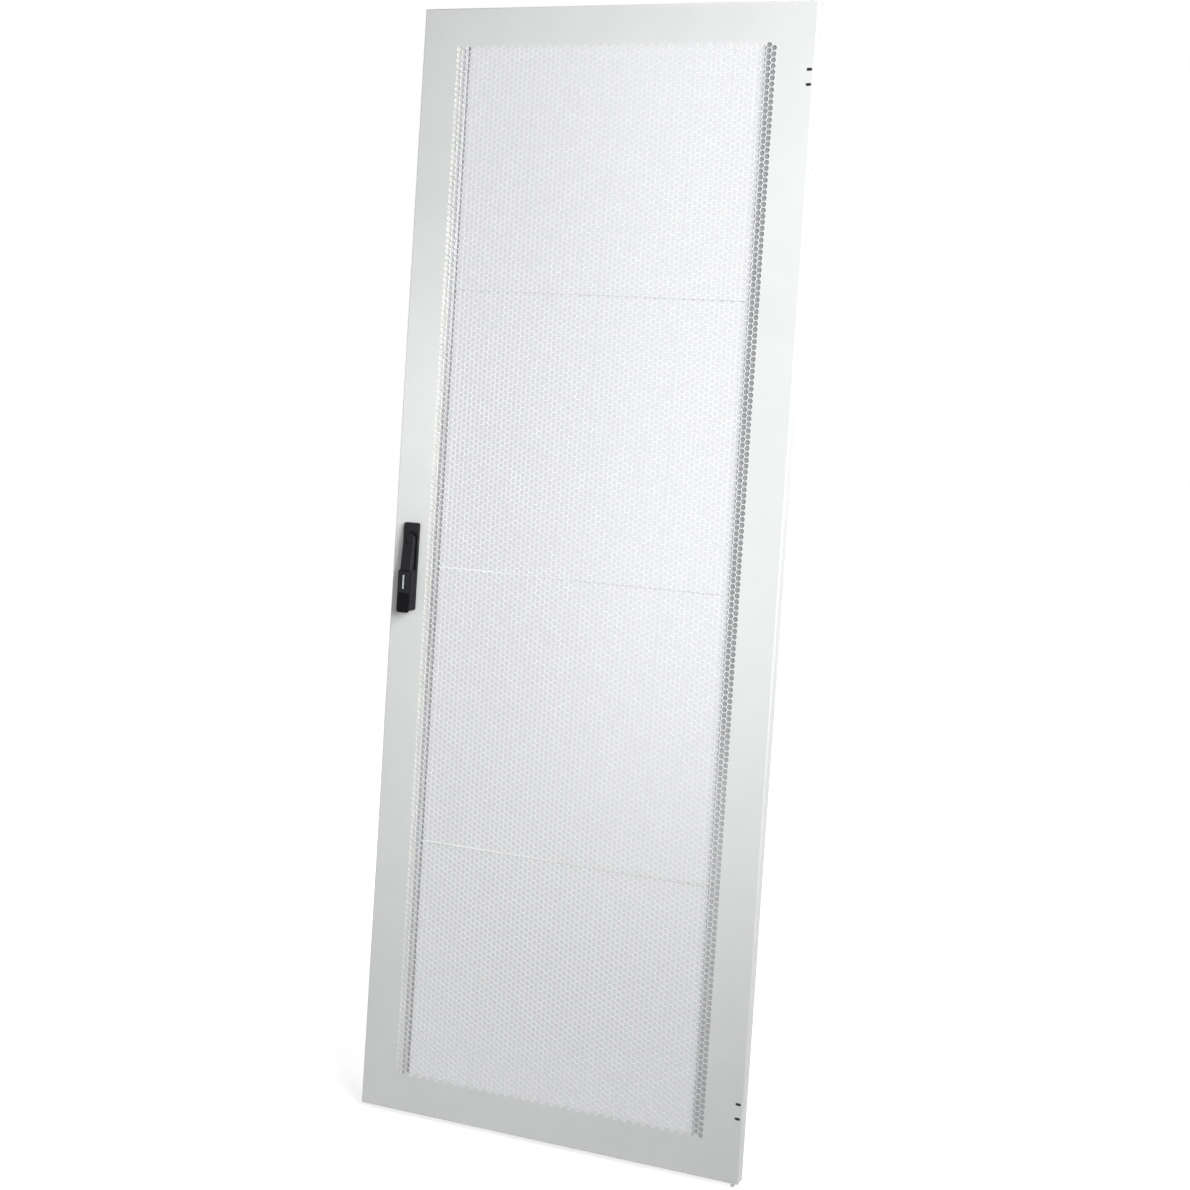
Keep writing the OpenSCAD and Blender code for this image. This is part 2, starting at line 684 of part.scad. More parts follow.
// Flat cam that turns from beside the plug into the base's bridge
module lock_cam() color(zinc) on_hub() translate([0, -cylinder_drop, cam_z])
    linear_extrude(cam_t) difference() {
        union() {
            circle(5, $fn = round_fn);
            translate([-cam_l + 1, -3.5]) square([cam_l - 1, 7]);
            translate([-cam_l, -2.5]) square([2, 5]);
        }
        square(5 + 2 * fit_gap, center = true);
    }

// Outline of the sliding cover, with full corners at its lower end
module cover_outline() {
    low = -block_drop - cover_l;
    r = cover_round;
    translate([-cover_w / 2, low + r]) square([cover_w, cover_l - r - 2]);
    translate([-cover_w / 2 + r, low]) square([cover_w - 2 * r, 2 * r]);
    translate([-cover_w / 2 + 2, -block_drop - r]) square([cover_w - 4, r]);
    for (x = [-1, 1]) {
        translate([x * (cover_w / 2 - r), low + r]) circle(r, $fn = round_fn);
        translate([x * (cover_w / 2 - 2), -block_drop - 2]) circle(2, $fn = round_fn);
    }
}

// Sliding cover with a T-shaped rail, an inlay seat and thumb ridges
module lock_cover() color(black_plastic) on_hub() difference() {
    union() {
        intersection() {
            translate([0, 0, cover_z]) linear_extrude(cover_t) cover_outline();
            rotate([90, 0, 0]) linear_extrude(block_drop + cover_l) {
                translate([-cover_w / 2, cover_z]) square([cover_w, cover_t - 1]);
                translate([-cover_w / 2 + 1, cover_z]) square([cover_w - 2, cover_t]);
                for (x = [-1, 1]) translate([x * (cover_w / 2 - 1), cover_z + cover_t - 1])
                    circle(1, $fn = round_fn);
            }
        }
        translate([0, -rail_start, 0]) rotate([90, 0, 0]) linear_extrude(rail_end - rail_start) {
            translate([-rail_w / 2, lever_top - rail_t - slide_gap])
                square([rail_w, rail_t + slide_gap + cover_z - lever_top + eps]);
            translate([-rail_head_w / 2, lever_top - 2 * rail_t])
                square([rail_head_w, rail_t - slide_gap]);
        }
    }
    translate([-inlay_w / 2, -block_drop - 2 - inlay_l, cover_z + cover_t - inlay_t])
        cube([inlay_w, inlay_l, inlay_t + cut]);
    for (i = [0 : ridge_count - 1])
        translate([-cover_w / 2 + 2.5, 2.5 - block_drop - cover_l + i * ridge_pitch, cover_z + cover_t - 0.5])
            cube([cover_w - 5, ridge_pitch / 2, 1]);
}

module cover_inlay() color([0.45, 0.48, 0.54]) on_hub()
    translate([-inlay_w / 2 + fit_gap, -block_drop - 2 - inlay_l + fit_gap, cover_z + cover_t - inlay_t])
        difference() {
            cube([inlay_w - 2 * fit_gap, inlay_l - 2 * fit_gap, inlay_t]);
            translate([inlay_w / 2 - fit_gap + bar_x - bar_w / 2, (inlay_l - bar_l) / 2 - fit_gap, inlay_t / 2])
                cube([bar_w, bar_l, inlay_t]);
        }

module inlay_bar() color("white") on_hub()
    translate([bar_x - bar_w / 2 + fit_gap, -block_drop - 2 - (inlay_l + bar_l) / 2 + fit_gap,
               cover_z + cover_t - inlay_t / 2])
        cube([bar_w - 2 * fit_gap, bar_l - 2 * fit_gap, inlay_t / 2 + 0.05]);

// Spacer plate of the rod lock, against the back of the sheet
module latch_plate() color(zinc) on_hub() translate([0, 0, -plate_end]) difference() {
    linear_extrude(plate_end - sheet_t) rounded_rect(housing_w, housing_l, 4);
    translate([0, 0, -cut]) cylinder(d = journal_d + 1, h = plate_end + cut, $fn = round_fn);
    translate([0, 0, plate_end + journal_end - slide_gap])
        cylinder(d = journal_d + 5 + 4 * fit_gap, h = plate_end, $fn = round_fn);
    for (y = [-1, 1]) translate([0, y * latch_screw_rise, 0]) {
        translate([0, 0, -cut]) cylinder(d = screw_d + 4 * fit_gap, h = plate_end + cut, $fn = round_fn);
        translate([0, 0, plate_end + journal_end - slide_gap])
            cylinder(d = collar_d + 4 * fit_gap, h = plate_end, $fn = round_fn);
    }
}

// Housing with a pocket for the pinion and two passages for the rods
module latch_housing() color(zinc) on_hub() translate([0, 0, -housing_end]) difference() {
    linear_extrude(housing_end - plate_end) rounded_rect(housing_w, housing_l, 4);
    translate([0, 0, housing_end - plate_end - gear_room])
        cylinder(r = pinion_tip_r + 0.5, h = gear_room + cut, $fn = round_fn);
    for (x = [-1, 1])
        translate([x * (rod_near + rod_w / 2 - (rack_root + rack_tip) / 2) - (rod_w + rack_root + rack_tip) / 2 - slide_gap,
                   -housing_l / 2 - cut, housing_end - plate_end - gear_room])
            cube([rod_w + rack_root + rack_tip + 2 * slide_gap, housing_l + 2 * cut, gear_room + cut]);
    translate([0, 0, -cut]) cylinder(d = boss_d + 2 * running, h = housing_end, $fn = round_fn);
    for (y = [-1, 1]) translate([0, y * latch_screw_rise, -cut])
        cylinder(d = screw_d + 4 * fit_gap, h = housing_end, $fn = round_fn);
}

// Hexagon-socket screw along z, with its head at the origin's side
module cap_screw(shank_l) {
    cylinder(d = screw_d - 2 * fit_gap, h = shank_l, $fn = round_fn);
    translate([0, 0, -screw_head_h]) difference() {
        cylinder(d = screw_head_d, h = screw_head_h, $fn = round_fn);
        translate([0, 0, -cut]) cylinder(d = 4.6, h = cut + screw_head_h / 2, $fn = 6);
    }
}

module latch_screws() color(zinc) on_hub() for (y = [-1, 1])
    translate([0, y * latch_screw_rise, -housing_end])
        cap_screw(housing_end + recess_floor - 2);

module base_washer() color(zinc)
    on_handle() translate([0, base_screw_y, -sheet_t - 1.5]) ring(16, screw_d + 4 * fit_gap, 1.5);

module base_screw() color(zinc)
    on_handle() translate([0, base_screw_y, -sheet_t - 1.5]) cap_screw(sheet_t + recess_floor - 0.5);

// Rack teeth that point towards +x, with a gap at the origin
module rack_outline() {
    lean = (rack_tip + rack_root) * tan(pressure_angle);
    half_root = (tooth_pitch / 2 - backlash) / 2 + rack_root * tan(pressure_angle);
    for (i = [0 : rack_teeth - 1]) translate([0, (i - 1.5) * tooth_pitch])
        polygon([[-rack_root - 1, -half_root], [-rack_root, -half_root], [rack_tip, lean - half_root],
                 [rack_tip, half_root - lean], [-rack_root, half_root], [-rack_root - 1, half_root]]);
}

// Rod with its rack, drawn to the hub's left and pointing up
module lock_rod(reach) color(zinc) {
    translate([0, 0, -rod_y - rod_t]) linear_extrude(rod_t) {
        translate([-rod_near - rod_w, -rod_tail]) square([rod_w, reach + rod_tail]);
        translate([-pitch_r, 0]) rack_outline();
    }
}

upper_reach = door_h - rod_end - hub_z;
lower_reach = hub_z - rod_end;
rod_mid = rod_near + rod_w / 2;

module stud_hole(reach) {
    translate([-rod_near - rod_w - cut, reach - stud_drop, -rod_y - rod_t / 2]) rotate([0, 90, 0])
        cylinder(d = stud_thread_d, h = rod_w + 2 * cut, $fn = round_fn);
}

module rod_with_hole(reach) {
    difference() {
        lock_rod(reach);
        stud_hole(reach);
    }
}

module upper_rod() color(zinc) on_hub() rod_with_hole(upper_reach);
module lower_rod() color(zinc) on_hub() rotate([0, 0, 180]) rod_with_hole(lower_reach);

// Shouldered stud beside the rod's tip, and the roller that turns on it
module roller_stud(reach) color(zinc)
    translate([-rod_near - rod_w, reach - stud_drop, -rod_y - rod_t / 2]) rotate([0, -90, 0]) {
        cylinder(d = stud_d, h = roller_w + 2 * slide_gap, $fn = round_fn);
        translate([0, 0, -rod_w + 1]) cylinder(d = stud_thread_d, h = rod_w, $fn = round_fn);
        translate([0, 0, roller_w + 2 * slide_gap])
            cylinder(d = stud_head_d, h = stud_head_t, $fn = round_fn);
    }

module rod_roller(reach) color(nylon)
    translate([-rod_near - rod_w - slide_gap, reach - stud_drop, -rod_y - rod_t / 2])
        rotate([0, -90, 0]) ring(roller_d, stud_d + 2 * running, roller_w);

module upper_roller_stud() on_hub() roller_stud(upper_reach);
module upper_roller() on_hub() rod_roller(upper_reach);
module lower_roller_stud() on_hub() rotate([0, 0, 180]) roller_stud(lower_reach);
module lower_roller() on_hub() rotate([0, 0, 180]) rod_roller(lower_reach);

// Folded bridge over a rod, with its feet on the sheet
module rod_guide() color(zinc) rotate([90, 0, 0]) linear_extrude(guide_l, center = true) {
    half = liner_w / 2;
    for (x = [-half - foot_w - guide_t, half])
        translate([x, -sheet_t - guide_t]) square([foot_w + guide_t, guide_t]);
    for (x = [-half - guide_t, half])
        translate([x, -guide_back]) square([guide_t, guide_back - sheet_t]);
    translate([-half - guide_t, -guide_back]) square([liner_w + 2 * guide_t, guide_t]);
}

// Nylon block inside a guide, with a passage for the rod
module rod_liner() color(nylon) rotate([90, 0, 0])
    linear_extrude(guide_l + 2, center = true) difference() {
        translate([-liner_w / 2, -guide_back + guide_t])
            square([liner_w, guide_back - guide_t - sheet_t - paint_gap]);
        translate([-rod_w / 2 - slide_gap / 2, -rod_y - rod_t - slide_gap / 2])
            square([rod_w + slide_gap, rod_t + slide_gap]);
    }

module along_upper_rod() on_hub()
    for (y = guide_places) translate([-rod_mid, y, 0]) children();

module along_lower_rod() on_hub() rotate([0, 0, 180])
    for (y = guide_places) translate([-rod_mid, y, 0]) children();

module upper_rod_guides() along_upper_rod() rod_guide();
module lower_rod_guides() along_lower_rod() rod_guide();
module upper_rod_liners() along_upper_rod() rod_liner();
module lower_rod_liners() along_lower_rod() rod_liner();

// Earthing point behind the hinge-side margin
module at_earth() in_door() translate([door_w - earth_x, sheet_t, earth_z]) rotate([-90, 0, 0]) children();

module earth_stud() color(zinc) at_earth() cylinder(d = earth_d, h = 16, $fn = round_fn);
module earth_washer() color(zinc) at_earth() ring(12, earth_d + 2 * fit_gap, 1.2);
module earth_nut() color(zinc) at_earth() translate([0, 0, 1.2]) difference() {
    cylinder(d = 11.5, h = 5, $fn = 6);
    translate([0, 0, -cut]) cylinder(d = earth_d + 2 * fit_gap, h = 7, $fn = round_fn);
}

// Rubber bumpers pushed into the return lips
module rubber_bumpers() color([0.15, 0.15, 0.15]) in_door()
    for (x = [lip_w / 2, door_w - lip_w / 2], z = [bumper_z, door_h - bumper_z])
        translate([x, door_d, z]) rotate([-90, 0, 0]) {
            cylinder(d = bumper_d, h = bumper_t, $fn = round_fn);
            translate([0, 0, -sheet_t - 2]) cylinder(d = bumper_stem_d, h = sheet_t + 2, $fn = round_fn);
        }

door_panel();
lock_side_channel();
hinge_side_channel();
upper_cross_strip();
middle_cross_strip();
lower_cross_strip();
upper_hinge_bracket();
upper_hinge_pin();
upper_pin_clip();
upper_pin_spring();
lower_hinge_bracket();
lower_hinge_pin();
lower_pin_clip();
lower_pin_spring();
hinge_screws();
handle_base();
base_gasket();
handle_hub();
drive_pinion();
spindle_washer();
spindle_screw();
lever();
lever_pivot();
hub_cap();
lock_cylinder();
cylinder_plug();
lock_cam();
lock_cover();
cover_inlay();
inlay_bar();
latch_plate();
latch_housing();
latch_screws();
base_screw();
base_washer();
upper_rod();
lower_rod();
upper_rod_guides();
lower_rod_guides();
upper_rod_liners();
lower_rod_liners();
upper_roller_stud();
upper_roller();
lower_roller_stud();
lower_roller();
earth_stud();
earth_washer();
earth_nut();
rubber_bumpers();
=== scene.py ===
"""Looks of a perforated rack door with a swing handle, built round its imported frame.

The frame's origin is on the hinge axis at the door's lower edge: +X runs towards
the hinge edge, +Y towards the rack and +Z up. Everything is in metres.
"""

import logging
import math
from collections.abc import Iterable, Sequence
from dataclasses import dataclass, field
from enum import Enum

import bmesh
import bpy
import numpy as np
from mathutils import Matrix, Vector
from mathutils.geometry import delaunay_2d_cdt


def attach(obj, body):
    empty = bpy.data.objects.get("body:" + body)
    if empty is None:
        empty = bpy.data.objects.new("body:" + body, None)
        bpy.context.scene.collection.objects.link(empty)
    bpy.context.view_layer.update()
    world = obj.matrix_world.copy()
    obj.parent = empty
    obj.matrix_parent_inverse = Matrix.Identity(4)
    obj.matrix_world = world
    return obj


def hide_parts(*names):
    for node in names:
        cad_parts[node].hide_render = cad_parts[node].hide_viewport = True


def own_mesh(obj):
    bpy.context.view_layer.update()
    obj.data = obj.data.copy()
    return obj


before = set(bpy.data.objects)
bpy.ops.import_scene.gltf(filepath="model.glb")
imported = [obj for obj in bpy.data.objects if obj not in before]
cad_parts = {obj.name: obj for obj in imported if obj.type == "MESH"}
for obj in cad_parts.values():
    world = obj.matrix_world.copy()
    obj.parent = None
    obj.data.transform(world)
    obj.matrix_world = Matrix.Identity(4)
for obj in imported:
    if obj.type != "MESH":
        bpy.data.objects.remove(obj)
LOG = logging.getLogger("rack_door")
MM = 0.001
WELD = 0.002 * MM
SHEET_WELD = 0.01 * MM
SAME_POINT = 0.001 * MM
OUTLINE_JOIN = 1e-7
NEARLY_ROUND = 0.999
FLAT_DEGREES = 0.4
CLOUD_DETAIL = 2.0
CLOUD_BAND = (0.35, 0.65)
FINE_SHARE = 0.25
Point = tuple[float, float, float]
Colour = tuple[float, float, float]
Loop = list[tuple[float, float]]
Span = tuple[float, float]


class Noise(Enum):
    """Kinds of irregularity that a finish may carry."""

    CLOUD = "ShaderNodeTexNoise"
    CELLS = "ShaderNodeTexVoronoi"


# ---------------------------------------------------------------- shader maths


class Wire:
    """One shader value that takes part in ordinary arithmetic."""

    def __init__(self, board: "Board", socket: bpy.types.NodeSocket) -> None:
        """Wraps a socket.

        Args:
            board: The material's node board.
            socket: The output socket that carries the value.
        """
        self.board = board
        self.socket = socket

    def _math(self, operation: str, *values: "Wire | float") -> "Wire":
        """Adds one Math node.

        Args:
            operation: The Math node's operation.
            values: Its inputs, in order.

        Returns:
            The node's value.
        """
        inputs = {place: value for place, value in enumerate(values)}
        return self.board.node("ShaderNodeMath", {"operation": operation}, inputs)["Value"]

    def __add__(self, other: "Wire | float") -> "Wire":
        """The sum."""
        return self._math("ADD", self, other)

    def __radd__(self, other: "Wire | float") -> "Wire":
        """The sum, with a number in front."""
        return self._math("ADD", other, self)

    def __sub__(self, other: "Wire | float") -> "Wire":
        """The difference."""
        return self._math("SUBTRACT", self, other)

    def __rsub__(self, other: "Wire | float") -> "Wire":
        """A number less this value."""
        return self._math("SUBTRACT", other, self)

    def __mul__(self, other: "Wire | float") -> "Wire":
        """The product."""
        return self._math("MULTIPLY", self, other)

    def __rmul__(self, other: "Wire | float") -> "Wire":
        """The product, with a number in front."""
        return self._math("MULTIPLY", other, self)

    def band(self, low: float, high: float) -> "Wire":
        """This value's place between two limits, smoothed and held to 0 and 1.

        Args:
            low: The value that gives 0.
            high: The value that gives 1.

        Returns:
            The share.
        """
        ranged = self.board.node(
            "ShaderNodeMapRange",
            {"interpolation_type": "SMOOTHSTEP"},
            {"Value": self, "From Min": low, "From Max": high},
        )
        return ranged["Result"]


class Placed:
    """A node that has been placed, whose outputs are read by name."""

    def __init__(self, board: "Board", node: bpy.types.Node) -> None:
        """Wraps a node.

        Args:
            board: The material's node board.
            node: The node.
        """
        self.board = board
        self.node = node

    def __getitem__(self, name: str) -> Wire:
        """The output of that name."""
        return Wire(self.board, self.node.outputs[name])


class Board:
    """The node board of one material or of the world."""

    def __init__(self, owner: bpy.types.Material | bpy.types.World) -> None:
        """Empties the owner's node tree.

        Args:
            owner: The material or world to give nodes to.
        """
        owner.use_nodes = True
        self.tree = owner.node_tree
        self.tree.nodes.clear()

    def node(
        self,
        kind: str,
        settings: dict[str, object] | None = None,
        inputs: dict[str | int, object] | None = None,
    ) -> Placed:
        """Places one node, with its settings made first.

        Args:
            kind: The node's type.
            settings: Properties of the node.
            inputs: Values or wires for its sockets.

        Returns:
            The placed node.
        """
        node = self.tree.nodes.new(kind)
        for name, value in (settings or {}).items():
            setattr(node, name, value)
        for name, value in (inputs or {}).items():
            socket = node.inputs[name]
            if isinstance(value, Wire):
                self.tree.links.new(value.socket, socket)
            else:
                socket.default_value = value
        return Placed(self, node)

    def blend(self, share: Wire | float, first: object, second: object) -> Wire:
        """Mixes two colours.

        Args:
            share: How much of the second colour shows.
            first: A colour or a wire that carries one.
            second: Another.

        Returns:
            The mixed colour.
        """
        mixed = self.node("ShaderNodeMix", {"data_type": "RGBA"}, {0: share, 6: first, 7: second})
        return Wire(self, mixed.node.outputs[2])

    def place(self) -> Wire:
        """Where a point is, in metres, on the piece it belongs to."""
        return self.node("ShaderNodeTexCoord")["Object"]

    def irregular(self, kind: Noise, size: float, stretch: Point = (1, 1, 1)) -> Wire:
        """A value from 0 to 1 that varies over the surface.

        Args:
            kind: The kind of irregularity.
            size: The size of one patch, in metres.
            stretch: How much closer the patches lie along each axis.

        Returns:
            The value.
        """
        spot = self.node(
            "ShaderNodeVectorMath", {"operation": "MULTIPLY"}, {0: self.place(), 1: stretch}
        )["Vector"]
        inputs: dict[str | int, object] = {"Vector": spot, "Scale": 1 / size}
        if kind is Noise.CLOUD:
            inputs["Detail"] = CLOUD_DETAIL
            return self.node(kind.value, {}, inputs)["Fac"]
        return self.node(kind.value, {}, inputs)["Distance"]


def light_of(colour: Colour) -> tuple[float, float, float, float]:
    """A written colour as light.

    Args:
        colour: Red, green and blue from 0 to 255.

    Returns:
        The linear colour with full cover.
    """
    parts = [part / 255 for part in colour]
    line = [p / 12.92 if p <= 0.04045 else ((p + 0.055) / 1.055) ** 2.4 for p in parts]
    return (line[0], line[1], line[2], 1.0)


# -------------------------------------------------------------------- finishes


@dataclass(frozen=True)
class Grade:
    """Painted tones on the forward faces of an upright channel. They stand in for
    the light and shade behind the holes, and stay the same under any other light.

    The left and right tones are for the foot, middle and head of the web, which
    meet at the turn, along X. The waist is where they change, along Z. The wall's
    tone starts at the back, along Y. Faces count as forward by their normal's Y.
    """

    turn: Span
    left: tuple[Colour, Colour, Colour]
    right: tuple[Colour, Colour, Colour]
    wall: Colour
    waist: tuple[Span, Span] = ((0.6, 1.0), (1.35, 1.75))
    back: Span = (-0.012, -0.010)
    turned_away: Span = (0.3, 0.6)

    def wire(self, board: Board, plain: Colour) -> Wire:
        """The graded colour.

        Args:
            board: The board to make it on.
            plain: The colour of the faces that look to the rear.

        Returns:
            The colour.
        """
        spot = board.node("ShaderNodeSeparateXYZ", {}, {"Vector": board.place()})
        sides = []
        for foot, middle, head in (self.left, self.right):
            lower = board.blend(spot["Z"].band(*self.waist[0]), light_of(foot), light_of(middle))
            sides.append(board.blend(spot["Z"].band(*self.waist[1]), lower, light_of(head)))
        web = board.blend(spot["X"].band(*self.turn), *sides)
        inner = board.blend(spot["Y"].band(*self.back), web, light_of(self.wall))
        facing = board.node("ShaderNodeSeparateXYZ", {}, {
            "Vector": board.node("ShaderNodeNewGeometry")["True Normal"]})
        return board.blend(facing["Y"].band(*self.turned_away), inner, light_of(plain))


@dataclass(frozen=True)
class Finish:
    """A surface finish: a base colour with its real mottle, grain and gloss.

    Mottle and grain are the sizes of one patch, in metres. With a grade, the base
    colour is that of the faces that look to the rear, and the grade paints light and
    shade on the forward faces.
    """

    name: str
    slot: str
    colour: Colour
    shade: Colour
    roughness: float
    metallic: float = 0.0
    specular: float = 0.5
    mottle: float = 0.02
    mottle_amount: float = 0.5
    grain: float = 0.001
    grain_height: float = 0.00001
    grain_kind: Noise = Noise.CLOUD
    gloss_play: float = 0.06
    stretch: Point = (1, 1, 1)
    grade: Grade | None = None

    def material(self) -> bpy.types.Material:
        """The finish as a material, made once."""
        known = bpy.data.materials.get(self.name)
        if known is not None:
            return known
        material = bpy.data.materials.new(self.name)
        board = Board(material)
        cloud = board.irregular(Noise.CLOUD, self.mottle, self.stretch).band(*CLOUD_BAND)
        fine = board.irregular(self.grain_kind, self.grain, self.stretch)
        tint = board.blend(
            cloud * self.mottle_amount + fine * (FINE_SHARE * self.mottle_amount),
            self.grade.wire(board, self.colour) if self.grade else light_of(self.colour),
            light_of(self.shade),
        )
        bump = board.node(
            "ShaderNodeBump", {}, {"Height": fine, "Distance": self.grain_height, "Strength": 1.0}
        )
        shader = board.node("ShaderNodeBsdfPrincipled", {}, {
            "Base Color": tint,
            "Roughness": self.roughness - 0.5 * self.gloss_play + cloud * self.gloss_play,
            "Metallic": self.metallic,
            "Specular IOR Level": self.specular,
            "Normal": bump["Normal"],
        })
        board.node("ShaderNodeOutputMaterial", {}, {"Surface": shader["BSDF"]})
        return material

    def dress(self, *nodes: str) -> None:
        """Gives this finish to nodes of the frame.

        Args:
            nodes: The nodes' names.
        """
        for name in nodes:
            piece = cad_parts[name]
            if not piece.material_slots:
                piece.data.materials.append(None)
            for place in piece.material_slots:
                place.material = self.material()
            for face in piece.data.polygons:
                face.material_index = 0
            LOG.info("%s: %d faces, dressed", name, len(piece.data.polygons))


POWDER_COAT = Finish("light_grey_powder_coat", "painted_steel", (213, 215, 214), (209, 211, 210),
                     0.4, grain=0.0016, grain_height=0.000012, mottle=0.09)
ZINC_PLATE = Finish("zinc_plate", "zinc_steel", (196, 199, 203), (170, 174, 180), 0.34,
                    metallic=0.9, mottle=0.008, grain=0.0007, grain_height=0.000004)
# Painted shade: the grade paints the dark tones seen through the holes onto the hinge-side
# channel's forward faces. Its rear faces keep the plain coat.
HINGE_CHANNEL_PAINTED_SHADE = Finish("hinge_channel_coat_painted_shade", "painted_steel", (222, 223, 222), (156, 157, 159), 0.5,
                     grain=0.0016, grain_height=0.000012, mottle=0.09, mottle_amount=0.15,
                     grade=Grade((-0.082, -0.078),
                                 ((188, 189, 192), (180, 181, 184), (206, 207, 210)),
                                 ((174, 175, 177), (137, 138, 140), (136, 137, 140)),
                                 (150, 151, 153)))
# Painted light and shade: the grade paints the tones seen through the holes onto the lock-side
# channel's forward faces. Its rear faces keep the plain coat.
LOCK_CHANNEL_PAINTED_SHADE = Finish("lock_channel_coat_painted_shade", "painted_steel", (222, 223, 222), (185, 186, 187), 0.5,
                      grain=0.0016, grain_height=0.000012, mottle=0.09, mottle_amount=0.15,
                      grade=Grade((-0.699, -0.695),
                                  ((222, 223, 220), (216, 217, 213), (228, 229, 225)),
                                  ((186, 186, 189), (164, 164, 167), (206, 206, 210)),
                                  (146, 146, 150)))
# Painted light: a paler copy of the powder coat for the vent field's webs, standing for the light
# they catch.
VENT_COAT_PAINTED_LIGHT = Finish("vent_coat_painted_light", "painted_steel", (240, 241, 241), (237, 238, 238), 0.4,
                   grain=0.0016, grain_height=0.000012, mottle=0.09)
# Black passivated zinc, made very dark as well, so that the brackets behind the hinge slots paint
# the shade in those slots.
BLACK_ZINC_PAINTED_SHADE = Finish("black_zinc_painted_shade", "zinc_steel", (36, 37, 40), (26, 27, 30), 0.5,
                    metallic=0.3, mottle=0.008, grain=0.0007, grain_height=0.000004)
DRAWN_ZINC = Finish("drawn_zinc_rod", "zinc_steel", (190, 194, 198), (164, 168, 174), 0.3,
                    metallic=0.9, mottle=0.006, grain=0.0005, grain_height=0.000004,
                    stretch=(1, 1, 0.05))
SPRING_WIRE = Finish("drawn_spring_wire", "spring_steel", (112, 113, 116), (84, 85, 90), 0.32,
                     metallic=0.95, mottle=0.004, grain=0.0004, grain_height=0.000003)
GLASS_NYLON = Finish("black_moulded_nylon", "black_plastic", (24, 23, 28), (18, 18, 22), 0.5,
                     specular=0.2, mottle=0.03, grain=0.00045, grain_height=0.00001,
                     grain_kind=Noise.CELLS)
# Painted shade: a darker, matter copy of the black nylon, for the recessed hub and the ridged lock
# cover.
NYLON_PAINTED_SHADE = Finish("black_nylon_painted_shade", "black_plastic", (17, 16, 19), (13, 13, 16), 0.62,
                     specular=0.1, mottle=0.03, grain=0.00045, grain_height=0.00001,
                     grain_kind=Noise.CELLS)
INLAY_PAD = Finish("blue_black_inlay", "grey_inlay", (14, 18, 23), (11, 14, 19), 0.42,
                   specular=0.25, mottle=0.02, grain=0.0003, grain_height=0.000003)
LIGHT_BAR = Finish("silver_white_bar", "white_bar", (186, 193, 200), (174, 181, 190), 0.3,
                   mottle=0.01, grain=0.0004, grain_height=0.000003)
BRASS = Finish("nickelled_brass", "brass_plug", (196, 190, 172), (170, 163, 144), 0.25,
               metallic=0.95, mottle=0.004, grain=0.0004, grain_height=0.000003)
WHITE_NYLON = Finish("natural_nylon", "nylon", (226, 223, 212), (216, 212, 198), 0.5,
                     mottle=0.01, grain=0.0006, grain_height=0.000008)
RUBBER = Finish("black_rubber", "black_rubber", (34, 34, 35), (26, 26, 27), 0.78,
                mottle=0.008, grain=0.0004, grain_height=0.000015)


# ---------------------------------------------------------------- mesh helpers


def piece_from(name: str, points: np.ndarray, faces: Sequence[Sequence[int]]) -> bpy.types.Object:
    """A new object from points and faces.

    Args:
        name: The piece's name.
        points: Its points, in metres.
        faces: Its faces, as rows of point numbers.

    Returns:
        The object, linked to the scene.
    """
    mesh = bpy.data.meshes.new(name)
    mesh.from_pydata(points.tolist(), [], [list(face) for face in faces])
    mesh.update()
    piece = bpy.data.objects.new(name, mesh)
    bpy.context.scene.collection.objects.link(piece)
    return piece


def settle(piece: bpy.types.Object, body: str, finish: Finish, *nodes: str) -> bpy.types.Object:
    """Finishes a piece, seats it on its body and hides the nodes that it replaces.

    Args:
        piece: The piece, in its place.
        body: The body that it rides on.
        finish: Its finish.
        nodes: The nodes that it replaces.

    Returns:
        The piece.
    """
    piece.data.materials.clear()
    piece.data.materials.append(finish.material())
    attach(piece, body)
    if nodes:
        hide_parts(*nodes)
    LOG.info("%s: %d faces on %s", piece.name, len(piece.data.polygons), body)
    return piece


def shade_by_angle(piece: bpy.types.Object, degrees: float) -> None:
    """Smooths a piece's curves and keeps its corners.

    Args:
        piece: The piece.
        degrees: The least angle between two faces that stays sharp.
    """
    piece.data.shade_smooth()
    piece.data.set_sharp_from_angle(angle=math.radians(degrees))


def apply_modifiers(piece: bpy.types.Object) -> None:
    """Makes a piece's modifiers part of its mesh.

    Args:
        piece: The piece.
    """
    shown = piece.evaluated_get(bpy.context.evaluated_depsgraph_get())
    mesh = bpy.data.meshes.new_from_object(shown)
    old = piece.data
    piece.modifiers.clear()
    piece.data = mesh
    bpy.data.meshes.remove(old)


